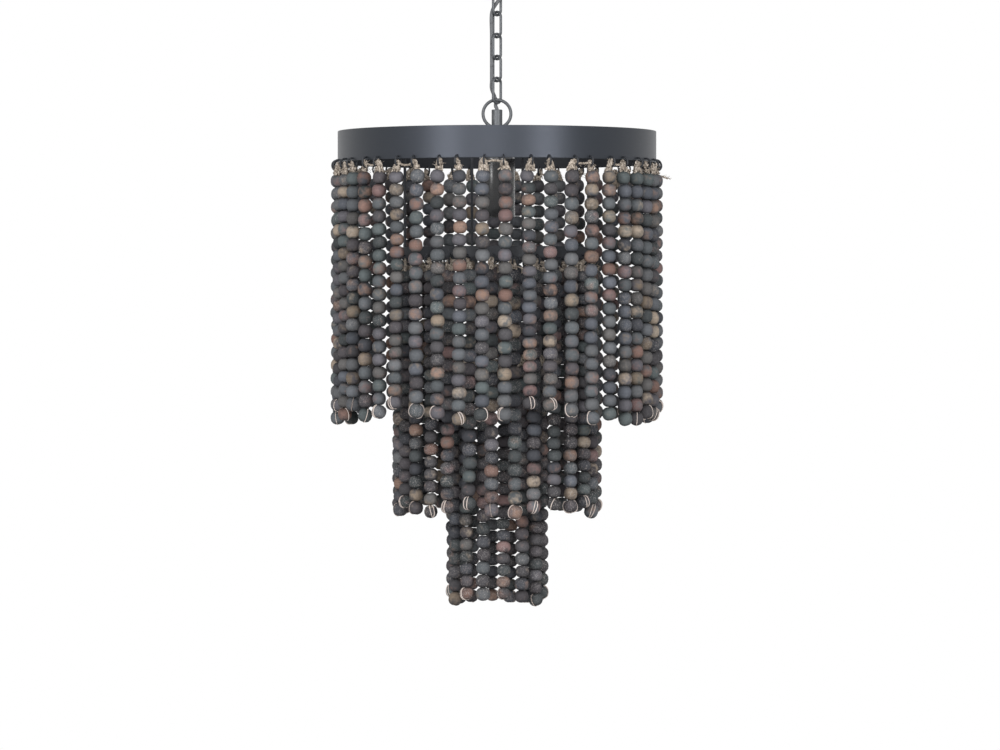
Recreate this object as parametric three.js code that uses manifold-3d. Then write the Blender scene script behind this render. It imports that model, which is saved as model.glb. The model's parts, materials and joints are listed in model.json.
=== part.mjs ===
// A beaded chandelier: three tiers of wooden bead strands tied with jute twine to
// small wire rings on three steel hoops, hung on a link chain from a ceiling canopy.
// Millimetres, +Z up. The origin is the middle of the mounting bracket's top face, on
// the ceiling. The front looks along +Y from the -Y side.

import * as THREE from 'three';
import { mergeVertices } from 'three/addons/utils/BufferGeometryUtils.js';
import Module from 'manifold-3d';

const wasm = await Module();
wasm.setup();

// Clearances

const touchGap = 0.3;        // between pieces that touch or are screwed together
const crossingGap = 0.5;     // between two linked wires
const cutOverrun = 2;        // how far a cutting tool runs past a face

// Beads and twine

const beadDiameter = 18;
const beadPitch = 16;
const beadsPerStrand = 19;
const beadWaistDiameter = 10.5;   // where one bead meets the next
const twineDiameter = 2.4;
const firstBeadDrop = 19.4;       // wire ring's centre to the first bead's centre
const beadSides = 4;
const waistSides = 3;

// Wire rings that the strands hang from

const wireRingOuter = 15;
const wireRingWire = 2.4;
const wireRingDrop = 3;           // hoop's lower edge to the wire ring's centre
const wireRingStandOff = 1;       // hoop's outer face to the wire ring's centre

// Three tiers: the drum band and the two lower hoops, with their strands

const drumDiameter = 400;
const drumHeight = 40;
const midHoopDiameter = 246;
const innerHoopDiameter = 112;
const lowerHoopHeight = 14;
const hoopWall = 2;
const midHoopDrop = 120;          // lower edge of one hoop to the lower edge of the next
const innerHoopDrop = 120;
const outerStrandCount = 44;
const midStrandCount = 28;
const innerStrandCount = 14;
const outerTurn = -1.0;           // degrees that a tier's first pair is turned from the front
const midTurn = 3.2;
const innerTurn = -5;
const outerBackDrift = -2.0;      // degrees that the drum's pairs drift round, front to back

// Beads of a strand that have their own form, counted from its lower end, and above
// them one plain rod of the beads' width

const outerFormedBeads = 14;
const lowerFormedBeads = 5;

// Chain

const linkWire = 3.5;
const linkWidth = 17;
const linkPitch = 27.6;
const linkCount = 5;
const linkTurn = 45;              // degrees between a link's plane and the front view

// Ceiling fitting

const canopyDiameter = 125;
const canopyHeight = 27;
const canopyWall = 1.5;
const canopyShoulder = 16;        // radius of the canopy's rounded lower edge
const bracketLength = 92;
const bracketWidth = 22;
const bracketThickness = 3;
const bracketHoleDiameter = 4.5;
const bracketHoleSpacing = 70;
const bossDiameter = 20;
const nippleDiameter = 12;
const nippleBore = 6.6;
const collarDiameter = 19;
const collarHeight = 10;
const loopDiameter = 24;          // middle of the wire of the canopy's loop
const loopWire = 4;
const loopSinkShare = 0.6;        // share of the loop's radius from its middle to the collar

// Hanging ring and stem

const hangingRingOuter = 39;
const hangingRingWire = 4;
const hangingRingLift = 3;        // drum's top edge to the hanging ring's lowest point
const hangingCollarDiameter = 22;
const hangingCollarDrop = 7;      // how far the ring's collar reaches below the ring
const stemDiameter = 13.6;
const stemBore = 10;
const stemTopBelowRing = 12.5;    // hanging ring's top wire to the stem's upper end
const stemIntoCup = 7;

// Cross frame inside the drum and the struts that carry the lower hoops

const crossTurn = 15.5;           // degrees that the cross is turned from the front
const crossHubDiameter = 40;
const crossArmWidth = 12;
const crossArmThickness = 4;
const crossArmCount = 4;
const crossNutAcross = 22;        // hexagonal boss under the hub, screwed on the stem
const crossNutHeight = 6;
const strutDiameter = 3.6;
const strutHeadDiameter = 7;
const strutHeadHeight = 3;
const innerArmHeight = 5;
const innerArmTurn = 45;          // degrees from the cross to the inner hoop's arms

// Lampholder

const cupDiameter = 45;
const cupHeight = 75;
const cupWall = 1.2;
const cupBottomBelowDrum = 67.2;  // drum's lower edge to the cup's lower edge
const holderHeight = 54;
const holderBore = 27;
const holderBoreDepth = 32;

// Supply cord

const cordDiameter = 4.5;
const cordBeside = 6.6;           // chain's middle to the cord's middle
const cordBehindRing = 4.8;
const cordStep = 9;

// Facets

const roundFacets = 20;
const canopyFacets = 28;
const wireFacets = 6;
const thinWireFacets = 3;
const linkFacets = 12;
const smallRingFacets = 6;
const cordFacets = 8;
const innerHoopFacets = 28;

const colours = {
  darkSteel: new THREE.MeshStandardMaterial({ color: 0x3a3f45, roughness: 0.5, metalness: 0.6 }),
  band: new THREE.MeshStandardMaterial({ color: 0x565c64, roughness: 0.45, metalness: 0.3 }),
  socket: new THREE.MeshStandardMaterial({ color: 0x1d1e20, roughness: 0.3, metalness: 0.2 }),
  holder: new THREE.MeshStandardMaterial({ color: 0x2a2725, roughness: 0.6, metalness: 0 }),
  cord: new THREE.MeshStandardMaterial({ color: 0x6f7276, roughness: 0.8, metalness: 0 }),
  beads: new THREE.MeshStandardMaterial({ color: 0x474b50, roughness: 0.8, metalness: 0 }),
};

const tiers = {
  outer: {
    hoopOuter: drumDiameter,
    hoopHeight: drumHeight,
    strands: outerStrandCount,
    turn: outerTurn,
    backDrift: outerBackDrift,
    formedBeads: outerFormedBeads,
    facets: outerStrandCount,
  },
  mid: {
    hoopOuter: midHoopDiameter,
    hoopHeight: lowerHoopHeight,
    strands: midStrandCount,
    turn: midTurn,
    backDrift: 0,
    formedBeads: lowerFormedBeads,
    facets: midStrandCount,
  },
  inner: {
    hoopOuter: innerHoopDiameter,
    hoopHeight: lowerHoopHeight,
    strands: innerStrandCount,
    turn: innerTurn,
    backDrift: 0,
    formedBeads: lowerFormedBeads,
    facets: innerHoopFacets,
  },
};

const degrees = Math.PI / 180;
const wholeTurn = 2 * Math.PI;

// Solids from three.js geometry, and back again

function solid(geometry) {
  const bare = geometry.clone();
  for (const name of ['normal', 'uv']) bare.deleteAttribute(name);
  const merged = mergeVertices(bare);
  return new wasm.Manifold(new wasm.Mesh({
    numProp: 3,
    vertProperties: new Float32Array(merged.attributes.position.array),
    triVerts: new Uint32Array(merged.index.array),
  }));
}

function geometryOf(shape) {
  const mesh = shape.getMesh();
  const geometry = new THREE.BufferGeometry();
  geometry.setAttribute('position', new THREE.BufferAttribute(mesh.vertProperties, mesh.numProp));
  geometry.setIndex(new THREE.BufferAttribute(mesh.triVerts, 1));
  geometry.computeVertexNormals();
  return geometry;
}

function joined(solids) {
  return solids.reduce((sum, piece) => sum.add(piece));
}

// Upright cylinder from one height down to another

function post(diameter, top, bottom, facets = roundFacets, x = 0, y = 0) {
  const radius = diameter / 2;
  const geometry = new THREE.CylinderGeometry(radius, radius, top - bottom, facets);
  geometry.rotateX(Math.PI / 2);
  geometry.translate(x, y, (top + bottom) / 2);
  return solid(geometry);
}

function block(width, depth, height, x, y, z) {
  const geometry = new THREE.BoxGeometry(width, depth, height);
  geometry.translate(x, y, z);
  return solid(geometry);
}

// A closed outline of [radius, height] points turned round the Z axis

function turned(points, facets) {
  const outline = points.map(([radius, height]) => new THREE.Vector2(radius, height));
  const geometry = new THREE.LatheGeometry(outline, facets);
  geometry.rotateX(Math.PI / 2);
  return solid(geometry);
}

// The least distance from the axis to a tier hoop's inner face, in the middle of a facet

function hoopReach(tier) {
  return (tier.hoopOuter / 2 - hoopWall) * Math.cos(Math.PI / tier.facets);
}

function hoop(outerDiameter, wall, top, bottom, facets) {
  const outside = outerDiameter / 2;
  const inside = outside - wall;
  const outline = [[inside, bottom], [outside, bottom], [outside, top], [inside, top], [inside, bottom]];
  return turned(outline, facets);
}

// An upright wire ring in the plane of X and Z, and the same ring pulled into a link

function wireRing(radius, wire, facets, wireSides, stretch = 0) {
  const geometry = new THREE.TorusGeometry(radius, wire / 2, wireSides, facets);
  geometry.rotateZ(Math.PI / facets);
  geometry.rotateX(Math.PI / 2);
  const position = geometry.attributes.position;
  for (let i = 0; i < position.count; i += 1) {
    const lift = Math.sign(position.getZ(i)) * stretch / 2;
    position.setZ(i, position.getZ(i) + lift);
  }
  return geometry;
}

// A tube along a curve

function tube(curve, diameter, sides, steps) {
  const outline = new THREE.Shape();
  for (let i = 0; i < sides; i += 1) {
    const angle = wholeTurn * i / sides;
    const x = Math.cos(angle) * diameter / 2;
    const y = Math.sin(angle) * diameter / 2;
    if (i === 0) outline.moveTo(x, y);
    else outline.lineTo(x, y);
  }
  outline.closePath();
  return new THREE.ExtrudeGeometry(outline, { steps, extrudePath: curve, curveSegments: 1 });
}

// A stack of level rings, each with its own radius, height, side count and turn,
// joined by triangles and closed at both ends

function ringStack(rings) {
  const points = [];
  const faces = [];
  const starts = rings.map((ring) => {
    const start = points.length / 3;
    for (let i = 0; i < ring.sides; i += 1) {
      const angle = ring.turn + wholeTurn * i / ring.sides;
      points.push(ring.radius * Math.cos(angle), ring.radius * Math.sin(angle), ring.height);
    }
    return start;
  });
  for (let k = 0; k + 1 < rings.length; k += 1) {
    const upper = rings[k];
    const lower = rings[k + 1];
    const upperAt = (i) => starts[k] + (i % upper.sides);
    const lowerAt = (i) => starts[k + 1] + (i % lower.sides);
    let a = 0;
    let b = 0;
    while (a < upper.sides || b < lower.sides) {
      const upperNext = upper.turn + wholeTurn * (a + 1) / upper.sides;
      const lowerNext = lower.turn + wholeTurn * (b + 1) / lower.sides;
      const takeUpper = b >= lower.sides || (a < upper.sides && upperNext <= lowerNext);
      if (takeUpper) {
        faces.push(upperAt(a), lowerAt(b), upperAt(a + 1));
        a += 1;
      } else {
        faces.push(upperAt(a), lowerAt(b), lowerAt(b + 1));
        b += 1;
      }
    }
  }
  const last = rings.length - 1;
  for (let i = 1; i + 1 < rings[0].sides; i += 1) {
    faces.push(starts[0], starts[0] + i, starts[0] + i + 1);
  }
  for (let i = 1; i + 1 < rings[last].sides; i += 1) {
    faces.push(starts[last], starts[last] + i + 1, starts[last] + i);
  }
  const geometry = new THREE.BufferGeometry();
  geometry.setAttribute('position', new THREE.Float32BufferAttribute(points, 3));
  geometry.setIndex(faces);
  geometry.computeVertexNormals();
  return geometry;
}

const chandelier = new THREE.Group();

function addPiece(name, shape, material, place = chandelier) {
  const geometry = shape.isBufferGeometry ? shape : geometryOf(shape);
  const mesh = new THREE.Mesh(geometry, material);
  mesh.name = name;
  place.add(mesh);
  return mesh;
}

// Heights, worked down from the ceiling

const canopyBottom = -canopyHeight;
const collarTop = canopyBottom - touchGap;
const collarBottom = collarTop - collarHeight;
const loopRadius = loopDiameter / 2;
const loopMiddle = collarBottom - loopSinkShare * loopRadius;
const loopBottom = loopMiddle - loopRadius;
const firstLinkTop = loopBottom + (loopWire + linkWire) / 2 + crossingGap;
const linkMiddleLength = linkPitch + linkWire + crossingGap;
const linkTop = (index) => firstLinkTop - index * linkPitch;
const lastLinkBottom = linkTop(linkCount - 1) - linkMiddleLength;
const hangingRingTop = lastLinkBottom + (linkWire + hangingRingWire) / 2 + crossingGap;
const hangingRingRadius = (hangingRingOuter - hangingRingWire) / 2;
const hangingRingMiddle = hangingRingTop - hangingRingRadius;
const drumTop = hangingRingMiddle - hangingRingOuter / 2 - hangingRingLift;
const hoopBottoms = {};
hoopBottoms.outer = drumTop - tiers.outer.hoopHeight;
hoopBottoms.mid = hoopBottoms.outer - midHoopDrop;
hoopBottoms.inner = hoopBottoms.mid - innerHoopDrop;
const stemTop = hangingRingTop - stemTopBelowRing;
const hangingCollarBottom = hangingRingMiddle - hangingRingOuter / 2 - hangingCollarDrop;
const crossTop = hangingCollarBottom - touchGap;
const crossBottom = crossTop - crossArmThickness;
const cupBottom = hoopBottoms.outer - cupBottomBelowDrum;
const cupTop = cupBottom + cupHeight;
const stemBottom = cupTop - stemIntoCup;
const holderTop = cupBottom + holderHeight;

// Ceiling fitting: bracket, canopy and the loop that screws them together

function mountingBracket() {
  const strap = block(bracketLength, bracketWidth, bracketThickness, 0, 0, -bracketThickness / 2);
  const bossBottom = canopyBottom + canopyWall + touchGap;
  const boss = post(bossDiameter, -bracketThickness / 2, bossBottom);
  let bracket = strap.add(boss);
  const nippleHole = nippleDiameter + 2 * touchGap;
  bracket = bracket.subtract(post(nippleHole, -bracketThickness, bossBottom - cutOverrun));
  for (const side of [-1, 1]) {
    const x = side * bracketHoleSpacing / 2;
    const hole = post(bracketHoleDiameter, cutOverrun, -bracketThickness - cutOverrun, wireFacets, x);
    bracket = bracket.subtract(hole);
  }
  return bracket;
}

function ceilingCanopy() {
  const rim = canopyDiameter / 2;
  const hole = nippleDiameter / 2 + touchGap;
  const shoulderTop = canopyBottom + canopyShoulder;
  const arc = (radius) => [1, 2].map((step) => {
    const angle = step / 3 * Math.PI / 2;
    const middle = rim - canopyShoulder;
    return [middle + radius * Math.cos(angle), shoulderTop - radius * Math.sin(angle)];
  });
  const outside = [[rim, 0], [rim, shoulderTop], ...arc(canopyShoulder)];
  const innerShoulder = canopyShoulder - canopyWall;
  const inside = [
    [rim - canopyWall, 0],
    [rim - canopyWall, shoulderTop],
    ...arc(innerShoulder),
  ].reverse();
  const floor = [
    [rim - canopyShoulder, canopyBottom],
    [hole, canopyBottom],
    [hole, canopyBottom + canopyWall],
    [rim - canopyShoulder, canopyBottom + canopyWall],
  ];
  const outline = [...outside, ...floor, ...inside, outside[0]].reverse();
  return turned(outline, canopyFacets);
}

function canopyLoop() {
  const nippleTop = -bracketThickness - touchGap;
  const nipple = post(nippleDiameter, nippleTop, collarTop - cutOverrun);
  const collar = post(collarDiameter, collarTop, collarBottom);
  const ring = wireRing(loopRadius, loopWire, linkFacets, wireFacets);
  ring.rotateZ(-linkTurn * degrees);
  ring.translate(0, 0, loopMiddle);
  const bore = post(nippleBore, nippleTop + cutOverrun, loopMiddle, 2 * wireFacets);
  return joined([nipple, collar, solid(ring)]).subtract(bore);
}

function chainLink(index) {
  const radius = (linkWidth - linkWire) / 2;
  const straight = linkMiddleLength - 2 * radius;
  const link = wireRing(radius, linkWire, linkFacets, wireFacets, straight);
  const turn = index % 2 === 0 ? linkTurn : -linkTurn;
  link.rotateZ(turn * degrees);
  link.translate(0, 0, linkTop(index) - linkMiddleLength / 2);
  return link;
}

addPiece('mounting_bracket', mountingBracket(), colours.darkSteel);
addPiece('ceiling_canopy', ceilingCanopy(), colours.darkSteel);
addPiece('canopy_loop', canopyLoop(), colours.darkSteel);
for (let index = 0; index < linkCount; index += 1) {
  addPiece(`chain_link_${index + 1}`, chainLink(index), colours.darkSteel);
}

// Hanging ring with its collar, the stem through it, and the cross that is screwed on

function hangingLoop() {
  const ring = wireRing(hangingRingRadius, hangingRingWire, roundFacets, wireFacets);
  ring.translate(0, 0, hangingRingMiddle);
  const collarTopHeight = hangingRingMiddle - hangingRingRadius + hangingRingWire / 2;
  const collar = post(hangingCollarDiameter, collarTopHeight, hangingCollarBottom);
  const stemHole = stemDiameter + 2 * touchGap;
  const hole = post(stemHole, hangingRingMiddle, hangingCollarBottom - cutOverrun);
  return joined([solid(ring), collar]).subtract(hole);
}

function stemTube() {
  return hoop(stemDiameter, (stemDiameter - stemBore) / 2, stemTop, stemBottom, roundFacets);
}

// Places of the struts: on the cross's arms, against the middle hoop's inner face

const strutRadius = tiers.mid.hoopOuter / 2 - hoopWall - strutDiameter / 2 + touchGap;
const strutPlaces = [...Array(crossArmCount).keys()].map((index) => {
  const angle = crossTurn * degrees + wholeTurn * index / crossArmCount;
  return [strutRadius * Math.cos(angle), strutRadius * Math.sin(angle)];
});

function crossFrame() {
  const armEnd = Math.sqrt((hoopReach(tiers.outer) - touchGap) ** 2 - (crossArmWidth / 2) ** 2);
  const middleHeight = (crossTop + crossBottom) / 2;
  const nutBottom = crossBottom - crossNutHeight;
  const nutCorners = crossNutAcross / Math.cos(Math.PI / 6);
  const solids = [
    post(crossHubDiameter, crossTop, crossBottom),
    post(nutCorners, middleHeight, nutBottom, 6),
  ];
  for (const turn of [0, Math.PI / 2]) {
    const arm = new THREE.BoxGeometry(2 * armEnd, crossArmWidth, crossArmThickness);
    arm.rotateZ(turn + crossTurn * degrees);
    arm.translate(0, 0, middleHeight);
    solids.push(solid(arm));
  }
  const above = crossTop + cutOverrun;
  const below = crossBottom - cutOverrun;
  const stemHole = post(stemDiameter + 2 * touchGap, above, nutBottom - cutOverrun);
  let cross = joined(solids).subtract(stemHole);
  for (const [x, y] of strutPlaces) {
    cross = cross.subtract(post(strutDiameter + 2 * touchGap, above, below, 2 * wireFacets, x, y));
  }
  return cross;
}

addPiece('hanging_loop', hangingLoop(), colours.darkSteel);
addPiece('stem_tube', stemTube(), colours.darkSteel);
addPiece('cross_frame', crossFrame(), colours.darkSteel);

// Pairs of strands: each pair is one twine that goes up from one strand, through two
// neighbouring wire rings and down into the next strand

const wireRingRadius = (wireRingOuter - wireRingWire) / 2;
const twineClear = (wireRingWire + twineDiameter) / 2 + touchGap;
const twineBelowRingMiddle = wireRingRadius - twineClear;

function pairLayout(tier) {
  const strandRadius = tier.hoopOuter / 2 + wireRingStandOff;
  const halfAngle = Math.PI / tier.strands;
  const pairs = tier.strands / 2;
  const turn = (index) => {
    const even = wholeTurn * index / pairs;
    const drift = tier.backDrift * (1 - Math.cos(even)) / 2;
    return even + (tier.turn + drift) * degrees;
  };
  return {
    halfSpacing: strandRadius * Math.sin(halfAngle),
    chordRadius: strandRadius * Math.cos(halfAngle),
    pairs,
    turn,
  };
}

// Turns a shape from a pair's own place, facing +X outwards, to its place round the tier

function placeOnTier(geometry, layout, index) {
  geometry.translate(0, -layout.chordRadius, 0);
  geometry.rotateZ(layout.turn(index));
  return geometry;
}

function hoopWithWireRings(tier, bottom) {
  const layout = pairLayout(tier);
  const ringMiddle = bottom - wireRingDrop;
  const solids = [hoop(tier.hoopOuter, hoopWall, bottom + tier.hoopHeight, bottom, tier.facets)];
  for (let index = 0; index < layout.pairs; index += 1) {
    for (const side of [-1, 1]) {
      const ring = wireRing(wireRingRadius, wireRingWire, smallRingFacets, thinWireFacets);
      ring.rotateZ(Math.PI / 2);
      ring.translate(side * (layout.halfSpacing - twineClear), 0, ringMiddle);
      solids.push(solid(placeOnTier(ring, layout, index)));
    }
  }
  return solids;
}

function strand(tier) {
  const firstDrop = firstBeadDrop - twineBelowRingMiddle;
  const waist = beadWaistDiameter / 2;
  const belly = beadDiameter / 2;
  const twine = twineDiameter / 2;
  const firstTop = -firstDrop + beadPitch / 2;
  const rings = [
    { radius: twine, height: 0, sides: waistSides, turn: 0 },
    { radius: twine, height: firstTop, sides: waistSides, turn: 0 },
  ];
  const plain = beadsPerStrand - tier.formedBeads;
  if (plain > 0) {
    const plainTop = firstTop - (belly - waist);
    const plainBottom = -firstDrop - (plain - 1) * beadPitch;
    rings.push({ radius: belly, height: plainTop, sides: beadSides, turn: 0 });
    rings.push({ radius: belly, height: plainBottom, sides: beadSides, turn: 0 });
    rings.push({ radius: waist, height: plainBottom - beadPitch / 2, sides: waistSides, turn: 0 });
  }
  for (let index = plain; index < beadsPerStrand; index += 1) {
    const middle = -firstDrop - index * beadPitch;
    if (index === 0) rings.push({ radius: waist, height: firstTop, sides: waistSides, turn: 0 });
    const turn = (index % 2) * Math.PI / beadSides;
    rings.push({ radius: belly, height: middle, sides: beadSides, turn });
    rings.push({ radius: waist, height: middle - beadPitch / 2, sides: waistSides, turn: 0 });
  }
  return ringStack(rings);
}

function strandPair(tier, bottom, index) {
  const layout = pairLayout(tier);
  const height = bottom - wireRingDrop - twineBelowRingMiddle;
  const solids = [];
  for (const side of [-1, 1]) {
    const beads = strand(tier);
    beads.translate(side * layout.halfSpacing, 0, 0);
    solids.push(solid(beads));
  }
  const bridgeLength = 2 * layout.halfSpacing + twineDiameter;
  const bridgeRadius = twineDiameter / 2;
  const bridge = new THREE.CylinderGeometry(bridgeRadius, bridgeRadius, bridgeLength, beadSides);
  bridge.rotateZ(Math.PI / 2);
  solids.push(solid(bridge));
  const pair = geometryOf(joined(solids));
  pair.translate(0, 0, height);
  return placeOnTier(pair, layout, index);
}

function addStrands(name, tier, bottom) {
  const { pairs } = pairLayout(tier);
  for (let index = 0; index < pairs; index += 1) {
    const number = String(index + 1).padStart(2, '0');
    addPiece(`${name}_strands_${number}`, strandPair(tier, bottom, index), colours.beads);
  }
}

addPiece('drum_band', joined(hoopWithWireRings(tiers.outer, hoopBottoms.outer)), colours.band);

// Middle hoop with the struts that go up through the cross's arms

function midHoop() {
  const solids = hoopWithWireRings(tiers.mid, hoopBottoms.mid);
  const headBottom = crossTop + touchGap;
  const headTop = headBottom + strutHeadHeight;
  for (const [x, y] of strutPlaces) {
    solids.push(post(strutDiameter, headTop, hoopBottoms.mid, wireFacets, x, y));
    solids.push(post(strutHeadDiameter, headTop, headBottom, wireFacets, x, y));
  }
  return joined(solids);
}

// Inner hoop with its struts, which bend outwards into arms under the middle hoop

function innerHoop() {
  const solids = hoopWithWireRings(tiers.inner, hoopBottoms.inner);
  const hoopRadius = tiers.inner.hoopOuter / 2 - hoopWall;
  const dropRadius = hoopRadius - strutDiameter / 2 + touchGap;
  const armEnd = hoopReach(tiers.mid) - touchGap;
  const armHeight = hoopBottoms.mid + tiers.mid.hoopHeight / 2;
  for (let i = 0; i < crossArmCount; i += 1) {
    const angle = (crossTurn + innerArmTurn) * degrees + wholeTurn * i / crossArmCount;
    const arm = new THREE.BoxGeometry(armEnd - dropRadius + strutDiameter / 2, strutDiameter, innerArmHeight);
    arm.translate((armEnd + dropRadius - strutDiameter / 2) / 2, 0, armHeight);
    arm.rotateZ(angle);
    const x = dropRadius * Math.cos(angle);
    const y = dropRadius * Math.sin(angle);
    solids.push(solid(arm));
    solids.push(post(strutDiameter, armHeight, hoopBottoms.inner, wireFacets, x, y));
  }
  return joined(solids);
}

addPiece('mid_hoop', midHoop(), colours.darkSteel);
addPiece('inner_hoop', innerHoop(), colours.darkSteel);

// Lampholder in its cup

function socketCup() {
  const outside = post(cupDiameter, cupTop, cupBottom);
  const inside = post(cupDiameter - 2 * cupWall, cupTop - cupWall, cupBottom - cutOverrun);
  const hole = post(stemDiameter + 2 * touchGap, cupTop + cutOverrun, cupTop - cupWall - cutOverrun);
  return outside.subtract(inside).subtract(hole);
}

function lampHolder() {
  const diameter = cupDiameter - 2 * cupWall - 2 * touchGap;
  const body = post(diameter, holderTop, cupBottom);
  const bore = post(holderBore, cupBottom + holderBoreDepth, cupBottom - cutOverrun);
  return body.subtract(bore);
}

addPiece('socket_cup', socketCup(), colours.socket);
addPiece('lamp_holder', lampHolder(), colours.holder);

// Supply cord: out of the canopy's loop, through the top link, down beside the chain,
// behind the hanging ring and into the stem

function supplyCord() {
  const linkMiddle = linkTop(0) - linkMiddleLength / 2;
  const lowerLinks = [...Array(linkCount).keys()].slice(1);
  const besideChain = lowerLinks.map((index) => [-cordBeside, 0, linkTop(index) - linkWire / 2]);
  const points = [
    [0, 0, collarTop - touchGap],
    [0, 0, collarBottom],
    [cordBeside / 2, 0, loopMiddle],
    [cordBeside, 0, loopBottom + loopWire],
    [cordBeside, 0, loopBottom - loopWire],
    [0, 0, linkMiddle],
    ...besideChain,
    [-cordBeside, 0, hangingRingTop + linkPitch / 2],
    [-cordBeside / 4, cordBehindRing, hangingRingTop],
    [-cordBeside / 4, cordBehindRing, lastLinkBottom - linkWire],
    [0, stemBore / 4, stemTop],
    [0, 0, stemTop - stemDiameter],
    [0, 0, holderTop + touchGap],
  ].map(([x, y, z]) => new THREE.Vector3(x, y, z));
  const curve = new THREE.CatmullRomCurve3(points, false, 'centripetal');
  const steps = Math.round(curve.getLength() / cordStep);
  return tube(curve, cordDiameter, cordFacets, steps);
}

addPiece('supply_cord', supplyCord(), colours.cord);

addStrands('outer', tiers.outer, hoopBottoms.outer);
addStrands('mid', tiers.mid, hoopBottoms.mid);
addStrands('inner', tiers.inner, hoopBottoms.inner);

export default chandelier;
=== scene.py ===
"""A beaded chandelier: painted hoops, bead strands on jute twine, a link chain with its
cord, and a black lampholder. Metres, +Z up, the ceiling at Z 0, the front towards -Y."""

import json
import math

import bpy
import numpy as np
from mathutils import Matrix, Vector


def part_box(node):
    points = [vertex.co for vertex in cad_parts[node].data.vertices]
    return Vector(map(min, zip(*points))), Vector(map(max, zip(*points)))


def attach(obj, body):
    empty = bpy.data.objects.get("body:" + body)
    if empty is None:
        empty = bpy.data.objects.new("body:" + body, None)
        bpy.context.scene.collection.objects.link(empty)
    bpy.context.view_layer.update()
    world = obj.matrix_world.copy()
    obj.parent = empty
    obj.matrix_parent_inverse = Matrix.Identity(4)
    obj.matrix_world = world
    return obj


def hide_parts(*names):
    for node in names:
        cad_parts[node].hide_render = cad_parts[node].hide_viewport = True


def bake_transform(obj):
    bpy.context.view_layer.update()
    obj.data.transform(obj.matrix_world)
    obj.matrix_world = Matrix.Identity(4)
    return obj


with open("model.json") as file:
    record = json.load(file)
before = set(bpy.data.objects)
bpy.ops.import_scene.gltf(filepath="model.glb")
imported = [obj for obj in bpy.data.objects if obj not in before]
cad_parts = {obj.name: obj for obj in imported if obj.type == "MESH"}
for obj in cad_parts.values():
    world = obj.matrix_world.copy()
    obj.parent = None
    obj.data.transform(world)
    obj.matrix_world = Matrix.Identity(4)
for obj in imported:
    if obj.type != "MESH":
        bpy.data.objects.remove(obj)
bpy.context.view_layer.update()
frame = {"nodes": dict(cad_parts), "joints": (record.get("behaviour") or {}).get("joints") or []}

MM = 0.001
TURN = 2 * math.pi
UP = (0, 0, 1)
JOINTS = {joint["name"]: joint for joint in frame["joints"]}

# Camera: level, far away, at the height of the middle of the photograph

CAMERA_DISTANCE = 7.4
CAMERA_HEIGHT = -0.5358
CAMERA_SIDE = 0.0038
SENSOR_WIDTH_MM = 36.0
IMAGE_WIDTH_PX = 1000
MM_PER_PIXEL = 1.256

# Tiers: hoop diameter and height, strand count, how much longer or shorter than the
# solids a strand may hang, how brown, two-tone and speckled its beads are, and how far
# its lower end may hang aside

HOOP_WALL = 2.0 * MM
HOOP_EDGE = 1.8 * MM
HOOP_ROUNDING = 0.6 * MM
HOOP_SEGMENTS = 240
WIRE_RING_RADIUS = 6.3 * MM
WIRE_RING_WIRE = 1.2 * MM
WIRE_RING_STEPS = 20
WIRE_RING_TURN = 0.10
WIRE_RING_DROP = 3.0 * MM
WIRE_RING_STAND_OFF = 1.0 * MM
TWINE_BESIDE_RING = 2.7 * MM
TWINE_UNDER_RING_MIDDLE = 3.6 * MM
TIERS = {
    "outer": {
        "diameter": 400 * MM, "height": 40 * MM, "strands": 44, "longer": (-12 * MM, 11 * MM),
        "brown": 0.18, "two_tone": 0.24, "speckled": 0.15, "lean": 1.4 * MM,
    },
    "mid": {
        "diameter": 246 * MM, "height": 14 * MM, "strands": 28, "longer": (-8 * MM, 6 * MM),
        "brown": 0.72, "two_tone": 0.13, "speckled": 0.66, "lean": 1.1 * MM,
    },
    "inner": {
        "diameter": 112 * MM, "height": 14 * MM, "strands": 14, "longer": (-14 * MM, -3 * MM),
        "brown": 0.90, "two_tone": 0.08, "speckled": 0.72, "lean": 0.7 * MM,
    },
}

# Beads

BEAD_RADIUS = 9.0 * MM
BEAD_HALF_HEIGHT = 8.0 * MM
BEAD_COUNTS = (18, 19, 19, 20)
FIRST_BEAD_DROP = 15.8 * MM
LAST_BEAD_DROP = 303.8 * MM
BEAD_SIDES = 10
BEAD_HEIGHT_SHARES = (-1.0, -0.80, -0.45, 0.0, 0.45, 0.80, 1.0)
BEAD_RADIUS_SHARES = (0.42, 0.73, 0.94, 1.0, 0.94, 0.73, 0.42)
STRAND_WANDER = 0.5 * MM
STRAND_WAVE = 5.0
BEAD_ASIDE = 0.35 * MM
FIRST_BEAD_ASIDE = 1.0 * MM
BEAD_INWARD = 0.8 * MM
BEAD_INWARD_SPREAD = 0.5 * MM
BEAD_UPWARD = 0.15 * MM
BEAD_TILT = 0.07
FIRST_BEAD_TILT = 0.18
LAST_BEAD_TILT = 0.22
LAST_BEAD_TILT_LIMIT = 0.3
BEAD_SIZE_SPREAD = 0.022
BEAD_SIZE_LIMIT = 1.02
BEAD_FILLS_PITCH = (0.95, 1.0)

# Chain

LINK_WIRE = 1.75 * MM
LINK_WIDTH = 13.5 * MM
LINK_LENGTH = 31.6 * MM
LINK_COUNT = 5
LINK_TURN = math.radians(45)

# Cord

CORD_RADIUS = 2.25 * MM
CORD_SIDES = 14
CORD_BEND_REACH = 9 * MM
CORD_POINTS_MM = (
    (0, 0, -27.6), (0, 0, -37.3), (3.3, 0, -44.5), (6.6, 0, -52.5), (6.6, 0, -60.5),
    (0, 0, -68.05), (-6.6, 0, -81.6), (-6.6, 0, -109.2), (-6.6, 0, -136.8),
    (-6.6, 0, -164.4), (-6.6, 0, -176.2), (-1.65, 4.8, -190.0), (-1.65, 4.8, -197.75),
    (0, 2.5, -202.5), (0, 0, -216.1), (0, 0, -282.9),
)

random = np.random.default_rng(20260726)


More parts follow.
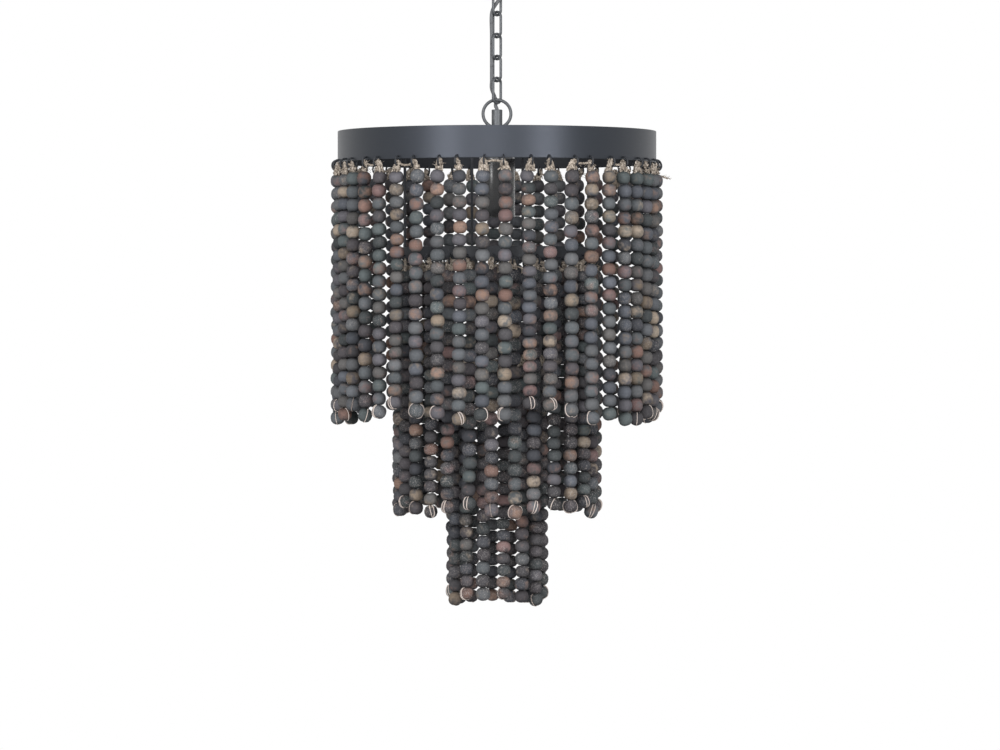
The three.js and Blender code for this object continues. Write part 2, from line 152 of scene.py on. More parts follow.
# Shader values and finishes


class Value:
    """A socket of a node tree that can be added, subtracted and multiplied."""

    def __init__(self, graph, socket):
        self.graph = graph
        self.socket = socket

    def maths(self, operation, first, second):
        return self.graph.node("ShaderNodeMath", {"operation": operation}, {0: first, 1: second})

    def __add__(self, other):
        return self.maths("ADD", self, other)

    def __radd__(self, other):
        return self.maths("ADD", other, self)

    def __sub__(self, other):
        return self.maths("SUBTRACT", self, other)

    def __rsub__(self, other):
        return self.maths("SUBTRACT", other, self)

    def __mul__(self, other):
        return self.maths("MULTIPLY", self, other)

    def larger(self, other):
        return self.maths("MAXIMUM", self, other)

    def above(self, low, high):
        """0 below low, 1 above high, smooth between them."""
        settings = {"interpolation_type": "SMOOTHSTEP"}
        values = {"Value": self, "From Min": low, "From Max": high}
        return self.graph.node("ShaderNodeMapRange", settings, values)


class Graph:
    """A node tree that is built by node calls and by expressions on Values."""

    def __init__(self, tree):
        self.tree = tree

    def node(self, kind, settings, values, output=0):
        """Adds a node, sets it up, feeds its sockets, and gives one output as a Value."""
        node = self.tree.nodes.new(kind)
        for key, setting in settings.items():
            if key == "stops":
                while len(node.color_ramp.elements) < len(setting):
                    node.color_ramp.elements.new(0.5)
                for element, (place, colour) in zip(node.color_ramp.elements, setting):
                    element.position = place
                    element.color = (*colour, 1)
            else:
                setattr(node, key, setting)
        for key, value in values.items():
            self.feed(node.inputs[key], value)
        return Value(self, node.outputs[output])

    def feed(self, socket, value):
        if isinstance(value, Value):
            self.tree.links.new(value.socket, socket)
        elif isinstance(value, tuple) and len(value) == 3 and socket.type == "RGBA":
            socket.default_value = (*value, 1)
        else:
            socket.default_value = value

    def seen_directly(self):
        """1 for camera, transmission and glossy rays, 0 for the rays that carry soft light."""
        camera_ray, through_ray, glossy_ray = (
            self.node("ShaderNodeLightPath", {}, {}, output=f"Is {kind} Ray")
            for kind in ("Camera", "Transmission", "Glossy")
        )
        return camera_ray.larger(through_ray).larger(glossy_ray)


class Finish(Graph):
    """A material with one Principled surface."""

    def __init__(self, name, roughness=0.5, metallic=0.0, coat=0.0, specular=0.5):
        self.material = bpy.data.materials.new(name)
        self.material.use_nodes = True
        super().__init__(self.material.node_tree)
        self.surface = self.tree.nodes["Principled BSDF"]
        self.feed(self.surface.inputs["Specular IOR Level"], specular)
        self.surface_gets(Roughness=roughness, Metallic=metallic, Coat_Weight=coat)

    def surface_gets(self, **values):
        for key, value in values.items():
            self.feed(self.surface.inputs[key.replace("_", " ")], value)

    def place(self, scale=(1, 1, 1)):
        """Object coordinates, scaled along each axis."""
        where = self.node("ShaderNodeTexCoord", {}, {}, output=3)
        return self.node("ShaderNodeMapping", {}, {"Vector": where, "Scale": scale})

    def noise(self, scale, detail, stretch=(1, 1, 1)):
        where = self.place(stretch)
        values = {"Vector": where, "Scale": scale, "Detail": detail, "Roughness": 0.55}
        return self.node("ShaderNodeTexNoise", {}, values)

    def attribute(self, name, output):
        return self.node("ShaderNodeAttribute", {"attribute_name": name}, {}, output=output)

    def blend(self, factor, low, high, mode="MIX"):
        """Colour low where factor is 0, colour high where it is 1."""
        settings = {"data_type": "RGBA", "blend_type": mode}
        return self.node("ShaderNodeMix", settings, {0: factor, 6: low, 7: high}, output=2)

    def darkened(self, colour, tone):
        """A colour times a number."""
        grey = self.node("ShaderNodeCombineColor", {}, {0: tone, 1: tone, 2: tone})
        return self.blend(1.0, colour, grey, "MULTIPLY")

    def bump(self, height, depth, strength):
        values = {"Height": height, "Distance": depth, "Strength": strength}
        return self.node("ShaderNodeBump", {}, values)


SPECKLE = (0.33, 0.31, 0.30)
# Painted shade: the near black colour of the band's inside face, which has the same paint as
# outside
PAINTED_INSIDE_SHADE = (0.024, 0.025, 0.027)
LACE_PALE = (0.70, 0.61, 0.57)
TWINE_STOPS = (
    (0.36, (0.10, 0.08, 0.067)), (0.50, (0.35, 0.30, 0.25)), (0.62, (0.66, 0.585, 0.51)),
)

# Squared distances from the axis between the band's inner and its outer face
BAND_FACE_SQUARES = (0.0393, 0.0398)


def bead_paint():
    """Matt paint on turned wood, with painted shade that darkens each bead towards its holes:
    some beads are rubbed through to the wood on one side, some are speckled all over."""
    finish = Finish("bead_paint", specular=0.16)
    paint = finish.attribute("paint", 0)
    wood = finish.attribute("wood", 0)
    belly = finish.attribute("belly", 2)
    two_tone = finish.attribute("two_tone", 2)
    speckled = finish.attribute("speckled", 2)
    patches = finish.noise(75, detail=2)
    mottle = finish.noise(300, detail=3)
    specks = finish.noise(850, detail=2)
    lathe_lines = finish.noise(240, detail=2, stretch=(0.22, 0.22, 3.6))
    worn = patches * 0.72 + mottle * 0.18 + belly * 0.10
    edge = 0.80 - two_tone * 0.36
    rubbed = worn.above(edge - 0.17, edge + 0.15)
    # Painted shade: each bead darkened towards its holes, carried into both tone and grain below
    painted_end_shade = 0.50 + belly.above(0.45, 1.02) * 0.50
    tone = (0.66 + mottle * 0.44 + lathe_lines * 0.24) * painted_end_shade
    grain = (0.56 + lathe_lines * 0.44 + specks * 0.44) * painted_end_shade
    base = finish.blend(rubbed, finish.darkened(paint, tone), finish.darkened(wood, grain))
    dots = (specks * 0.72 + mottle * 0.28).above(0.52, 0.64) * speckled
    height = lathe_lines * 0.5 + specks * 0.35 + dots * 0.4
    finish.surface_gets(
        Base_Color=finish.blend(dots, base, SPECKLE),
        Roughness=0.66 + specks * 0.2,
        Normal=finish.bump(height, 0.35 * MM, 0.6),
    )
    return finish.material


def band_paint():
    """Slate grey satin paint on rolled sheet, with faint cloudiness and fine rub marks,
    and the inside face painted near black as painted shade."""
    finish = Finish("band_paint", specular=0.49)
    finish.surface_gets(Specular_Tint=(0.78, 0.84, 1.0))
    clouds = finish.noise(9, detail=3)
    rubs = finish.noise(60, detail=4, stretch=(1, 1, 7))
    pores = finish.noise(1500, detail=2)
    colour = finish.blend(clouds.above(0.3, 0.7), (0.010, 0.012, 0.014), (0.014, 0.016, 0.019))
    marks = rubs.above(0.62, 0.82) * 0.22
    painted = finish.blend(marks, colour, (0.05, 0.054, 0.062))
    where = finish.place()
    x = finish.node("ShaderNodeSeparateXYZ", {}, {"Vector": where}, output=0)
    y = finish.node("ShaderNodeSeparateXYZ", {}, {"Vector": where}, output=1)
    outside = (x * x + y * y).above(*BAND_FACE_SQUARES)
    # Painted shade: inside the band the paint gives way to near black
    finish.surface_gets(
        Base_Color=finish.blend(outside, PAINTED_INSIDE_SHADE, painted),
        Metallic=0.65 - outside * 0.65,
        Roughness=0.60 - outside * 0.26 + clouds * 0.08 + rubs * 0.06,
        Normal=finish.bump(pores * 0.6 + rubs * 0.4, 0.05 * MM, 0.5),
    )
    return finish.material


def dark_steel():
    """Near black painted wire and rod, rubbed a little at random."""
    finish = Finish("dark_steel", metallic=0.2, specular=0.4)
    clouds = finish.noise(180, detail=3)
    pores = finish.noise(1400, detail=2)
    rubbed = clouds.above(0.56, 0.78) * 0.5
    finish.surface_gets(
        Base_Color=finish.blend(rubbed, (0.020, 0.022, 0.027), (0.07, 0.07, 0.075)),
        Roughness=0.46 + clouds * 0.16,
        Normal=finish.bump(pores, 0.06 * MM, 0.5),
    )
    return finish.material


def grey_steel():
    """Satin grey chain, ring and canopy, rubbed lighter in random clouds."""
    finish = Finish("grey_steel", metallic=0.35, specular=0.5)
    clouds = finish.noise(150, detail=3)
    pores = finish.noise(1400, detail=2)
    rubbed = clouds.above(0.52, 0.74)
    finish.surface_gets(
        Base_Color=finish.blend(rubbed, (0.075, 0.080, 0.087), (0.15, 0.155, 0.165)),
        Roughness=0.36 + clouds * 0.18,
        Normal=finish.bump(pores, 0.06 * MM, 0.5),
    )
    return finish.material


def jute():
    """Pale hairy twine: twisted plies in shades of straw, paler over the last beads."""
    finish = Finish("jute", roughness=0.93, specular=0.1)
    fibres = finish.noise(700, detail=4, stretch=(1, 1, 0.45))
    plies = finish.noise(420, detail=2)
    mix = fibres * 0.5 + plies * 0.5
    lacing = finish.attribute("lacing", 2)
    twisted = finish.node("ShaderNodeValToRGB", {"stops": TWINE_STOPS}, {0: mix})
    finish.surface_gets(
        Base_Color=finish.blend(lacing * 0.7, twisted, LACE_PALE),
        Normal=finish.bump(mix, 0.6 * MM, 0.9),
    )
    return finish.material


def socket_black():
    """Gloss black enamel on the spun cup, with a faint orange peel."""
    finish = Finish("socket_black", coat=0.7, specular=0.7)
    finish.surface_gets(Coat_Roughness=0.2)
    peel = finish.noise(420, detail=2)
    clouds = finish.noise(30, detail=2)
    finish.surface_gets(
        Base_Color=finish.blend(clouds, (0.010, 0.010, 0.011), (0.018, 0.018, 0.020)),
        Roughness=0.20 + clouds * 0.08,
        Normal=finish.bump(peel, 0.04 * MM, 0.3),
    )
    return finish.material


def holder_black():
    """Moulded black lampholder."""
    finish = Finish("holder_black", roughness=0.55, specular=0.4)
    grain = finish.noise(1200, detail=3)
    clouds = finish.noise(60, detail=2)
    finish.surface_gets(
        Base_Color=finish.blend(clouds, (0.018, 0.017, 0.016), (0.030, 0.028, 0.026)),
        Roughness=0.5 + grain * 0.15,
        Normal=finish.bump(grain, 0.05 * MM, 0.5),
    )
    return finish.material


def contact_brass():
    """Brass of the lampholder's thread and contact."""
    finish = Finish("contact_brass", metallic=1.0, roughness=0.3)
    clouds = finish.noise(120, detail=3)
    finish.surface_gets(
        Base_Color=finish.blend(clouds, (0.55, 0.38, 0.15), (0.68, 0.50, 0.22)),
        Roughness=0.26 + clouds * 0.2,
    )
    return finish.material


def cord_cloth():
    """Grey braided sleeve: two families of threads that wind opposite ways."""
    finish = Finish("cord_cloth", roughness=0.85, specular=0.2)
    along = finish.attribute("along", 2)
    around = finish.attribute("around", 2)
    lengthwise, round_about = along * 2600.0, around * 8.0
    one = finish.node("ShaderNodeMath", {"operation": "SINE"}, {0: lengthwise + round_about})
    other = finish.node("ShaderNodeMath", {"operation": "SINE"}, {0: lengthwise - round_about})
    weave = one * other * 0.5 + 0.5
    fuzz = finish.noise(1500, detail=3)
    shade = weave * 0.7 + fuzz * 0.3
    finish.surface_gets(
        Base_Color=finish.blend(shade, (0.075, 0.078, 0.084), (0.24, 0.245, 0.255)),
        Normal=finish.bump(weave, 0.25 * MM, 0.7),
    )
    return finish.material


# Each finish's material and the slot that it fills
FINISHES = {
    "bead_paint": (bead_paint(), "beads_wood"),
    "band_paint": (band_paint(), "band_paint"),
    "dark_steel": (dark_steel(), "steel_dark"),
    "grey_steel": (grey_steel(), "steel_dark"),
    "jute": (jute(), "twine_jute"),
    "socket_black": (socket_black(), "socket_black"),
    "holder_black": (holder_black(), "holder_black"),
    "contact_brass": (contact_brass(), "holder_black"),
    "cord_cloth": (cord_cloth(), "cord_grey"),
}


# Meshes from whole arrays


def unit(vectors):
    return vectors / np.linalg.norm(vectors, axis=-1, keepdims=True)


def upward(distance):
    return np.array([0, 0, distance])


def all_round(steps):
    """Angles that go once round in even steps."""
    return TURN * np.arange(steps) / steps


def in_scene(name, data):
    made = bpy.data.objects.new(name, data)
    bpy.context.scene.collection.objects.link(made)
    return made


def piece(name, surfaces, finish, body, replaced=(), point_values=None):
    """One object from a list of surfaces, each (points, corners, corner counts)."""
    points, corners, counts, start = [], [], [], 0
    for surface_points, surface_corners, surface_counts in surfaces:
        points.append(surface_points.reshape(-1, 3))
        corners.append(surface_corners.reshape(-1) + start)
        counts.append(surface_counts.reshape(-1))
        start += len(points[-1])
    points, corners, counts = (np.concatenate(part) for part in (points, corners, counts))
    mesh = bpy.data.meshes.new(name)
    mesh.vertices.add(len(points))
    mesh.vertices.foreach_set("co", points.astype(np.float32).ravel())
    mesh.loops.add(len(corners))
    mesh.loops.foreach_set("vertex_index", corners.astype(np.int32))
    mesh.polygons.add(len(counts))
    starts = np.concatenate([[0], np.cumsum(counts)[:-1]])
    mesh.polygons.foreach_set("loop_start", starts.astype(np.int32))
    mesh.polygons.foreach_set("loop_total", counts.astype(np.int32))
    mesh.polygons.foreach_set("use_smooth", np.ones(len(counts), dtype=bool))
    mesh.update(calc_edges=True)
    mesh.validate()
    for key, values in (point_values or {}).items():
        kind, field = ("FLOAT_COLOR", "color") if values.ndim == 2 else ("FLOAT", "value")
        layer = mesh.attributes.new(key, kind, "POINT")
        layer.data.foreach_set(field, values.astype(np.float32).ravel())
    material, slot = FINISHES[finish]
    mesh.materials.append(material)
    made = in_scene(name, mesh)
    if body:
        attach(made, body)
    if replaced:
        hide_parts(*replaced)
    return made


def sharpened(made, degrees=35):
    """Marks edges sharper than an angle, so that flats stay flat under smooth shading."""
    made.data.set_sharp_from_angle(angle=math.radians(degrees))
    return made


def quads_between(here, ahead):
    """Corner numbers of the quads between closed rings and the rings ahead of them."""
    return np.stack([here, np.roll(here, -1, -1), np.roll(ahead, -1, -1), ahead], axis=-1)


def tubes(paths, radius, sides, across, closed=False):
    """Round tubes along n paths of p points, shape (n, p, 3). Each point's ring lies square
    to the path: path + radius * (cos a * side + sin a * up), side = across x tangent."""
    paths = np.asarray(paths, dtype=float)
    count, steps, _ = paths.shape
    if closed:
        tangent = unit(np.roll(paths, -1, axis=1) - np.roll(paths, 1, axis=1))
    else:
        tangent = unit(np.gradient(paths, axis=1))
    side = unit(np.cross(np.broadcast_to(across, paths.shape), tangent))
    up = np.cross(tangent, side)
    angle = all_round(sides)
    width = np.broadcast_to(np.asarray(radius, dtype=float), (count, steps))[:, :, None, None]
    ring = side[:, :, None, :] * np.cos(angle)[:, None] + up[:, :, None, :] * np.sin(angle)[:, None]
    points = paths[:, :, None, :] + width * ring
    index = np.arange(count * steps * sides).reshape(count, steps, sides)
    ahead = np.roll(index, -1, axis=1) if closed else index[:, 1:]
    here = index if closed else index[:, :-1]
    quads = quads_between(here, ahead)
    corners = [quads.reshape(-1)]
    counts = [np.full(quads.size // 4, 4)]
    if not closed:
        caps = np.concatenate([index[:, 0, ::-1], index[:, -1]], axis=0)
        corners.append(caps.reshape(-1))
        counts.append(np.full(2 * count, sides))
    return points, np.concatenate(corners), np.concatenate(counts)


def turned(outline, segments, middle=(0, 0, 0)):
    """A closed outline of (radius, height) points, counterclockwise with radius to the
    right, turned round the Z axis."""
    outline = np.asarray(outline, dtype=float)
    angle = all_round(segments)
    points = np.empty((segments, len(outline), 3))
    points[:, :, 0] = np.cos(angle)[:, None] * outline[:, 0] + middle[0]
    points[:, :, 1] = np.sin(angle)[:, None] * outline[:, 0] + middle[1]
    points[:, :, 2] = outline[:, 1] + middle[2]
    index = np.arange(segments * len(outline)).reshape(segments, len(outline))
    quads = quads_between(index, np.roll(index, -1, axis=0))[..., [0, 3, 2, 1]]
    return points, quads.reshape(-1), np.full(quads.size // 4, 4)


def rounded(corners, radius, steps=3):
    """A closed outline with each corner cut back by radius and bridged by a curve:
    (1 - t)^2 before + 2 t (1 - t) corner + t^2 after."""
    corners = np.asarray(corners, dtype=float)
    back = np.roll(corners, 1, axis=0) - corners
    ahead = np.roll(corners, -1, axis=0) - corners
    reach_back = np.minimum(radius, 0.45 * np.linalg.norm(back, axis=1))[:, None]
    reach_ahead = np.minimum(radius, 0.45 * np.linalg.norm(ahead, axis=1))[:, None]
    before = corners + unit(back) * reach_back
    after = corners + unit(ahead) * reach_ahead
    t = np.linspace(0, 1, steps + 1)[None, :, None]
    start, middle, end = before[:, None], corners[:, None], after[:, None]
    curve = (1 - t) ** 2 * start + 2 * t * (1 - t) * middle + t ** 2 * end
    return curve.reshape(-1, 2)


def pipe_outline(bore, outside, bottom, top, edge):
    """The section of a pipe's wall with rounded edges."""
    return rounded([(bore, bottom), (outside, bottom), (outside, top), (bore, top)], edge)


def quarter_round(middle, radius, steps, rise):
    """Outline points middle + radius * (cos a, rise * sin a), a from 0 to a quarter turn."""
    arc = np.linspace(0, math.pi / 2, steps)
    return np.array(middle) + radius * np.stack([np.cos(arc), rise * np.sin(arc)], 1)


def hoop_outline(outside, bottom, top):
    """A strip's section: rounded edges, with points beside them that keep the flats flat."""
    inside = outside - HOOP_WALL
    low, high = bottom + HOOP_EDGE, top - HOOP_EDGE
    return rounded([
        (inside, bottom), (outside, bottom), (outside, low), (outside, high),
        (outside, top), (inside, top), (inside, high), (inside, low),
    ], HOOP_ROUNDING)


def wire_rings(middles, outward, turns):
    """Upright wire rings, each turned a little about Z from its outward direction:
    middle + radius * (cos a * flat + sin a * up)."""
    facing = np.arctan2(outward[:, 1], outward[:, 0]) + turns
    flat = np.stack([np.cos(facing), np.sin(facing), np.zeros(len(facing))], axis=1)
    angle = all_round(WIRE_RING_STEPS)
    up = upward(1.0)
    paths = middles[:, None] + WIRE_RING_RADIUS * (
        np.cos(angle)[None, :, None] * flat[:, None] + np.sin(angle)[None, :, None] * up
    )
    return tubes(paths, WIRE_RING_WIRE, 6, np.cross(flat, up)[:, None, :], closed=True)


# Where the strand pairs hang


def pair_places(tier):
    """Each pair's name, hinge point, outward direction and sideways direction."""
    count = TIERS[tier]["strands"] // 2
    names = [f"{tier}_strands_{number + 1:02d}" for number in range(count)]
    hinges = np.array([JOINTS[f"{name}_swing"]["pos_m"] for name in names])
    outward = unit(hinges * np.array([1, 1, 0]))
    sideways = np.stack([-outward[:, 1], outward[:, 0], np.zeros(count)], axis=1)
    return names, hinges, outward, sideways


def half_spacing(tier):
    radius = TIERS[tier]["diameter"] / 2 + WIRE_RING_STAND_OFF
    return radius * math.sin(math.pi / TIERS[tier]["strands"])


def dress_hoop(tier, node, finish, strip_name):
    """A smooth hoop with its wire rings, in place of the plain faceted one."""
    _, hinges, outward, sideways = pair_places(tier)
    bottom = hinges[0, 2] + TWINE_UNDER_RING_MIDDLE + WIRE_RING_DROP
    outline = hoop_outline(TIERS[tier]["diameter"] / 2, bottom, bottom + TIERS[tier]["height"])
    sharpened(piece(strip_name, [turned(outline, HOOP_SEGMENTS)], finish, "fixture", (node,)))
    beside = half_spacing(tier) - TWINE_BESIDE_RING
    middles = np.concatenate([hinges + side * beside * sideways for side in (-1, 1)])
    middles[:, 2] += TWINE_UNDER_RING_MIDDLE
    both = np.concatenate([outward, outward])
    turns = random.normal(0, WIRE_RING_TURN, len(both))
    piece(f"{tier}_wire_rings", [wire_rings(middles, both, turns)], "dark_steel", "fixture")
    return bottom


# Beads of a pair of strands

SLATES = np.array([
    (0.112, 0.119, 0.130), (0.119, 0.123, 0.130), (0.101, 0.110, 0.118),
    (0.097, 0.113, 0.116), (0.114, 0.110, 0.123), (0.097, 0.104, 0.121), (0.112, 0.108, 0.107),
])
CHARCOALS = np.array([
    (0.060, 0.062, 0.071), (0.069, 0.066, 0.071), (0.058, 0.064, 0.067), (0.073, 0.067, 0.073),
])
WOODS = np.array([
    (0.20, 0.125, 0.105), (0.25, 0.165, 0.13), (0.22, 0.175, 0.135),
    (0.20, 0.13, 0.125), (0.33, 0.27, 0.215),
])
PAINT_SPREAD = 0.10
WOOD_SPREAD = 0.12
SLIGHTLY_TWO_TONE = (0.0, 0.35)
CLEARLY_TWO_TONE = (0.55, 1.0)
SLIGHTLY_SPECKLED = (0.0, 0.15)
CLEARLY_SPECKLED = (0.25, 0.75)


def bead_shape():
    """One bead round Z: rings of radius and height shares, closed by flat ends."""
    angle = all_round(BEAD_SIDES)
    height = np.array(BEAD_HEIGHT_SHARES) * BEAD_HALF_HEIGHT
    radius = np.array(BEAD_RADIUS_SHARES) * BEAD_RADIUS
    points = np.stack([
        radius[:, None] * np.cos(angle),
        radius[:, None] * np.sin(angle),
        np.broadcast_to(height[:, None], (len(height), BEAD_SIDES)),
    ], axis=-1)
    index = np.arange(points.size // 3).reshape(len(height), BEAD_SIDES)
    quads = quads_between(index[:-1], index[1:])
    corners = np.concatenate([quads.reshape(-1), index[0, ::-1], index[-1]])
    counts = np.concatenate([np.full(quads.size // 4, 4), [BEAD_SIDES, BEAD_SIDES]])
    return points.reshape(-1, 3), corners, counts


BEAD_POINTS, BEAD_CORNERS, BEAD_CORNER_COUNTS = bead_shape()


def turns_between(first, second, angles):
    """Rotation matrices that turn axis number first towards axis number second."""
    matrices = np.tile(np.eye(3), (len(angles), 1, 1))
    matrices[:, first, first] = matrices[:, second, second] = np.cos(angles)
    matrices[:, second, first] = np.sin(angles)
    matrices[:, first, second] = -np.sin(angles)
    return matrices


def tilts(lean, spin):
    """Rotations that lean by small angles about X and Y after a spin about Z."""
    about_x, about_y = turns_between(1, 2, lean[:, 0]), turns_between(2, 0, lean[:, 1])
    return about_x @ about_y @ turns_between(0, 1, spin)


def strand_of_beads(tier, top, outward, sideways):
    """Middles, rotations and sizes of one strand's beads under the point top. The strand
    leans a little and wanders: lean * share + wander * sin(wave * share + phase)."""
    count = random.choice(BEAD_COUNTS)
    longer = random.uniform(*TIERS[tier]["longer"])
    pitch = (LAST_BEAD_DROP + longer - FIRST_BEAD_DROP) / (count - 1)
    share = np.arange(count) / (count - 1)
    lean, wander = random.normal(0, TIERS[tier]["lean"]), random.normal(0, STRAND_WANDER)
    aside = lean * share + wander * np.sin(STRAND_WAVE * share + random.uniform(0, TURN))
    aside += random.normal(0, BEAD_ASIDE, count)
    aside[0] += random.normal(0, FIRST_BEAD_ASIDE)
    out = -BEAD_INWARD - np.abs(random.normal(0, BEAD_INWARD_SPREAD, count))
    middles = top + aside[:, None] * sideways + out[:, None] * outward
    middles[:, 2] -= FIRST_BEAD_DROP + share * (count - 1) * pitch
    middles[:, 2] += random.normal(0, BEAD_UPWARD, count)
    tilt = random.normal(0, BEAD_TILT, (count, 2))
    tilt[0] = random.normal(0, FIRST_BEAD_TILT, 2)
    last_tilt = random.normal(0, LAST_BEAD_TILT, 2)
    tilt[-1] = np.clip(last_tilt, -LAST_BEAD_TILT_LIMIT, LAST_BEAD_TILT_LIMIT)
    spin = random.uniform(0, TURN, count)
    widths = np.minimum(random.normal(1.0, BEAD_SIZE_SPREAD, (count, 1)), BEAD_SIZE_LIMIT)
    sizes = widths * np.ones((1, 3))
    sizes[:, 2] = 0.5 * pitch / BEAD_HALF_HEIGHT * random.uniform(*BEAD_FILLS_PITCH, count)
    return middles, tilts(tilt, spin), sizes


def bead_colours(count, tier):
    """Paint, bare wood, and how two-tone and how speckled each bead is."""
    brown = random.random(count) < TIERS[tier]["brown"]
    paint = np.where(
        brown[:, None],
        CHARCOALS[random.integers(0, len(CHARCOALS), count)],
        SLATES[random.integers(0, len(SLATES), count)],
    )
    paint = paint * random.normal(1.0, PAINT_SPREAD, (count, 1))
    wood = WOODS[random.integers(0, len(WOODS), count)]
    wood = wood * random.normal(1.0, WOOD_SPREAD, (count, 1))
    two_tone = random.uniform(*SLIGHTLY_TWO_TONE, count)
    rubbed = random.random(count) < TIERS[tier]["two_tone"]
    two_tone[rubbed] = random.uniform(*CLEARLY_TWO_TONE, rubbed.sum())
    speckled = random.uniform(*SLIGHTLY_SPECKLED, count)
    dotted = random.random(count) < TIERS[tier]["speckled"]
    speckled[dotted] = random.uniform(*CLEARLY_SPECKLED, dotted.sum())
    return np.clip(paint, 0.02, 1), np.clip(wood, 0.05, 1), two_tone, speckled


def beads_piece(tier, name, strands):
    """The beads of both strands of a pair as one object."""
    middles, rotations, sizes = (np.concatenate(part) for part in zip(*strands))
    count = len(middles)
    sized = BEAD_POINTS[None] * sizes[:, None]
    points = middles[:, None] + np.einsum("bij,bpj->bpi", rotations, sized)
    corners = BEAD_CORNERS[None] + len(BEAD_POINTS) * np.arange(count)[:, None]
    paint, wood, two_tone, speckled = bead_colours(count, tier)

    def spread(values):
        return np.repeat(values, len(BEAD_POINTS), axis=0)

    opaque = np.ones((count, 1))
    belly = np.repeat(BEAD_RADIUS_SHARES, BEAD_SIDES)
    values = {
        "belly": np.tile(belly, count),
        "paint": spread(np.hstack([paint, opaque])),
        "wood": spread(np.hstack([wood, opaque])),
        "two_tone": spread(two_tone),
        "speckled": spread(speckled),
    }
    surface = (points, corners.reshape(-1), np.tile(BEAD_CORNER_COUNTS, count))
    piece(name.replace("strands", "beads"), [surface], "bead_paint", name, (name,), values)


# Twine of a pair of strands

TWINE_RADIUS = 1.3 * MM
PLY_RADIUS = 0.95 * MM
LACE_RADIUS = 0.6 * MM
FIBRE_RADIUS = 0.28 * MM
BOWS_PER_RING = 6
FIBRES_PER_STRAND = 34
TAIL_SHARE = 0.4
BRIDGED_SHARE = 0.8
LACED_SHARE = 0.85
LACE_SPREADS = (0.0, 0.42, 0.55, math.pi)
LACE_END = 0.12
LACE_TURN_SPREAD = 0.7
BOW_SPREAD_MM = (0.3, 4.2)
BOW_OUT_MM = (-1.6, 2.2)
BOW_LIFT_MM = (0.4, 6.4)
BOW_SHIFT = 0.9 * MM
BOW_TWIST = 0.8 * MM
BOW_KINK = 0.38 * MM
BOW_FOOT_IN_BEAD = 1.2 * MM
KNOT_FULLNESS = (0.6, 1.75)
KNOT_PLACE = 0.35
KNOT_LIFT = 1.0 * MM
KNOT_RADIUS_MM = (1.6, 1.4)
KNOT_HEIGHT = 4.2 * MM
WRAP_LIFT = 1.0 * MM
WRAP_OUT_MM = (-1.2, 1.6)
WRAP_RADIUS = 2.1 * MM
WRAP_HEIGHT = 2.4 * MM
STOPPER_IN_BEAD = 0.6 * MM
STOPPER_RADIUS = 1.2 * MM
STOPPER_HEIGHT = 1.0 * MM
BRIDGE_SAG_MM = (-1.0, 4.0)
BRIDGE_LIFT_MM = (0.0, 3.0)
PLY_WINDING = 0.75 * MM
TAIL_LENGTH_MM = (6, 12)
TAIL_TURN = (0.15, 1.05)
TAIL_DROOP = (0, 0, -0.45)
TAIL_CURL = 0.12
FIBRE_ACROSS = (0.31, 0.17, 0.93)
FIBRE_LENGTH_MM = (2, 6.5)
FIBRE_DROOP = (0, 0, -0.25)
FIBRE_CURL = 0.35
FIBRE_SCATTER = 0.8 * MM
FRAYED_PAIR = 5
FRAYED_LENGTH = 14 * MM
FRAYED_DROP = 9.5 * MM
FRAYED_DROOP = (0, 0, -0.28)
FRAYED_FIBRES = 16
FRAYED_FIBRE_LENGTH_MM = (3, 7)
FRAYED_FIBRE_FAN = 0.5


def drooping(roots, lengths, directions, droop, steps):
    """Curves root + length * (t * direction + t^2 * droop), t from 0 to 1."""
    t = np.linspace(0, 1, steps)[None, :, None]
    return roots + lengths * (t * directions + t ** 2 * droop)


def bows(apex, foot, outward, sideways, fullness):
    """Turns of twine through a wire ring, as upside-down V shapes: a leg on each side,
    spread * sign(t) * |t|^0.6 across and |t|^1.5 of the way down at t from -1 to 1."""
    t = np.linspace(-1, 1, 13)
    count = BOWS_PER_RING
    spread = random.uniform(*BOW_SPREAD_MM, (count, 1)) * fullness * MM
    across = spread * np.sign(t) * np.abs(t) ** 0.6 + random.normal(0, BOW_SHIFT, (count, 1))
    out = random.uniform(*BOW_OUT_MM, (count, 1)) * MM
    out = out + random.normal(0, BOW_TWIST, (count, 1)) * t
    lift = random.uniform(*BOW_LIFT_MM, (count, 1)) * MM
    fall = np.abs(t) ** 1.5
    paths = apex + (foot - apex) * fall[None, :, None]
    paths = paths + across[:, :, None] * sideways + out[:, :, None] * outward
    paths[:, :, 2] += lift * (1 - fall)
    paths[:, 1:-1] += random.normal(0, BOW_KINK, (count, len(t) - 2, 3))
    return paths


def coil(middle, radius, height, turns, direction):
    """A short helix round Z, falling by height: radius * (1 + 0.22 sin 2.3 a) * (cos a, sin a)."""
    t = np.linspace(0, 1, 10 * turns + 1)
    angle = direction * TURN * turns * t
    wobble = 1 + 0.22 * np.sin(2.3 * angle)
    return np.stack([
        middle[0] + radius * wobble * np.cos(angle),
        middle[1] + radius * wobble * np.sin(angle),
        middle[2] + height * (0.5 - t),
    ], axis=-1)[None]


def two_plies(start, end, sag, sideways):
    """A twine of two plies that wind round each other: start + (end - start) * t, with
    sag * sin(pi t) taken off its height, and half a winding's width to either side."""
    t = np.linspace(0, 1, 25)
    middle = start + (end - start) * t[:, None]
    middle[:, 2] -= sag * np.sin(math.pi * t)
    angle = 3 * TURN * t
    across = np.cross(sideways, UP)
    around_middle = np.cos(angle)[:, None] * across + np.sin(angle)[:, None] * np.array(UP)
    wind = PLY_WINDING * around_middle
    return np.stack([middle + wind, middle - wind])


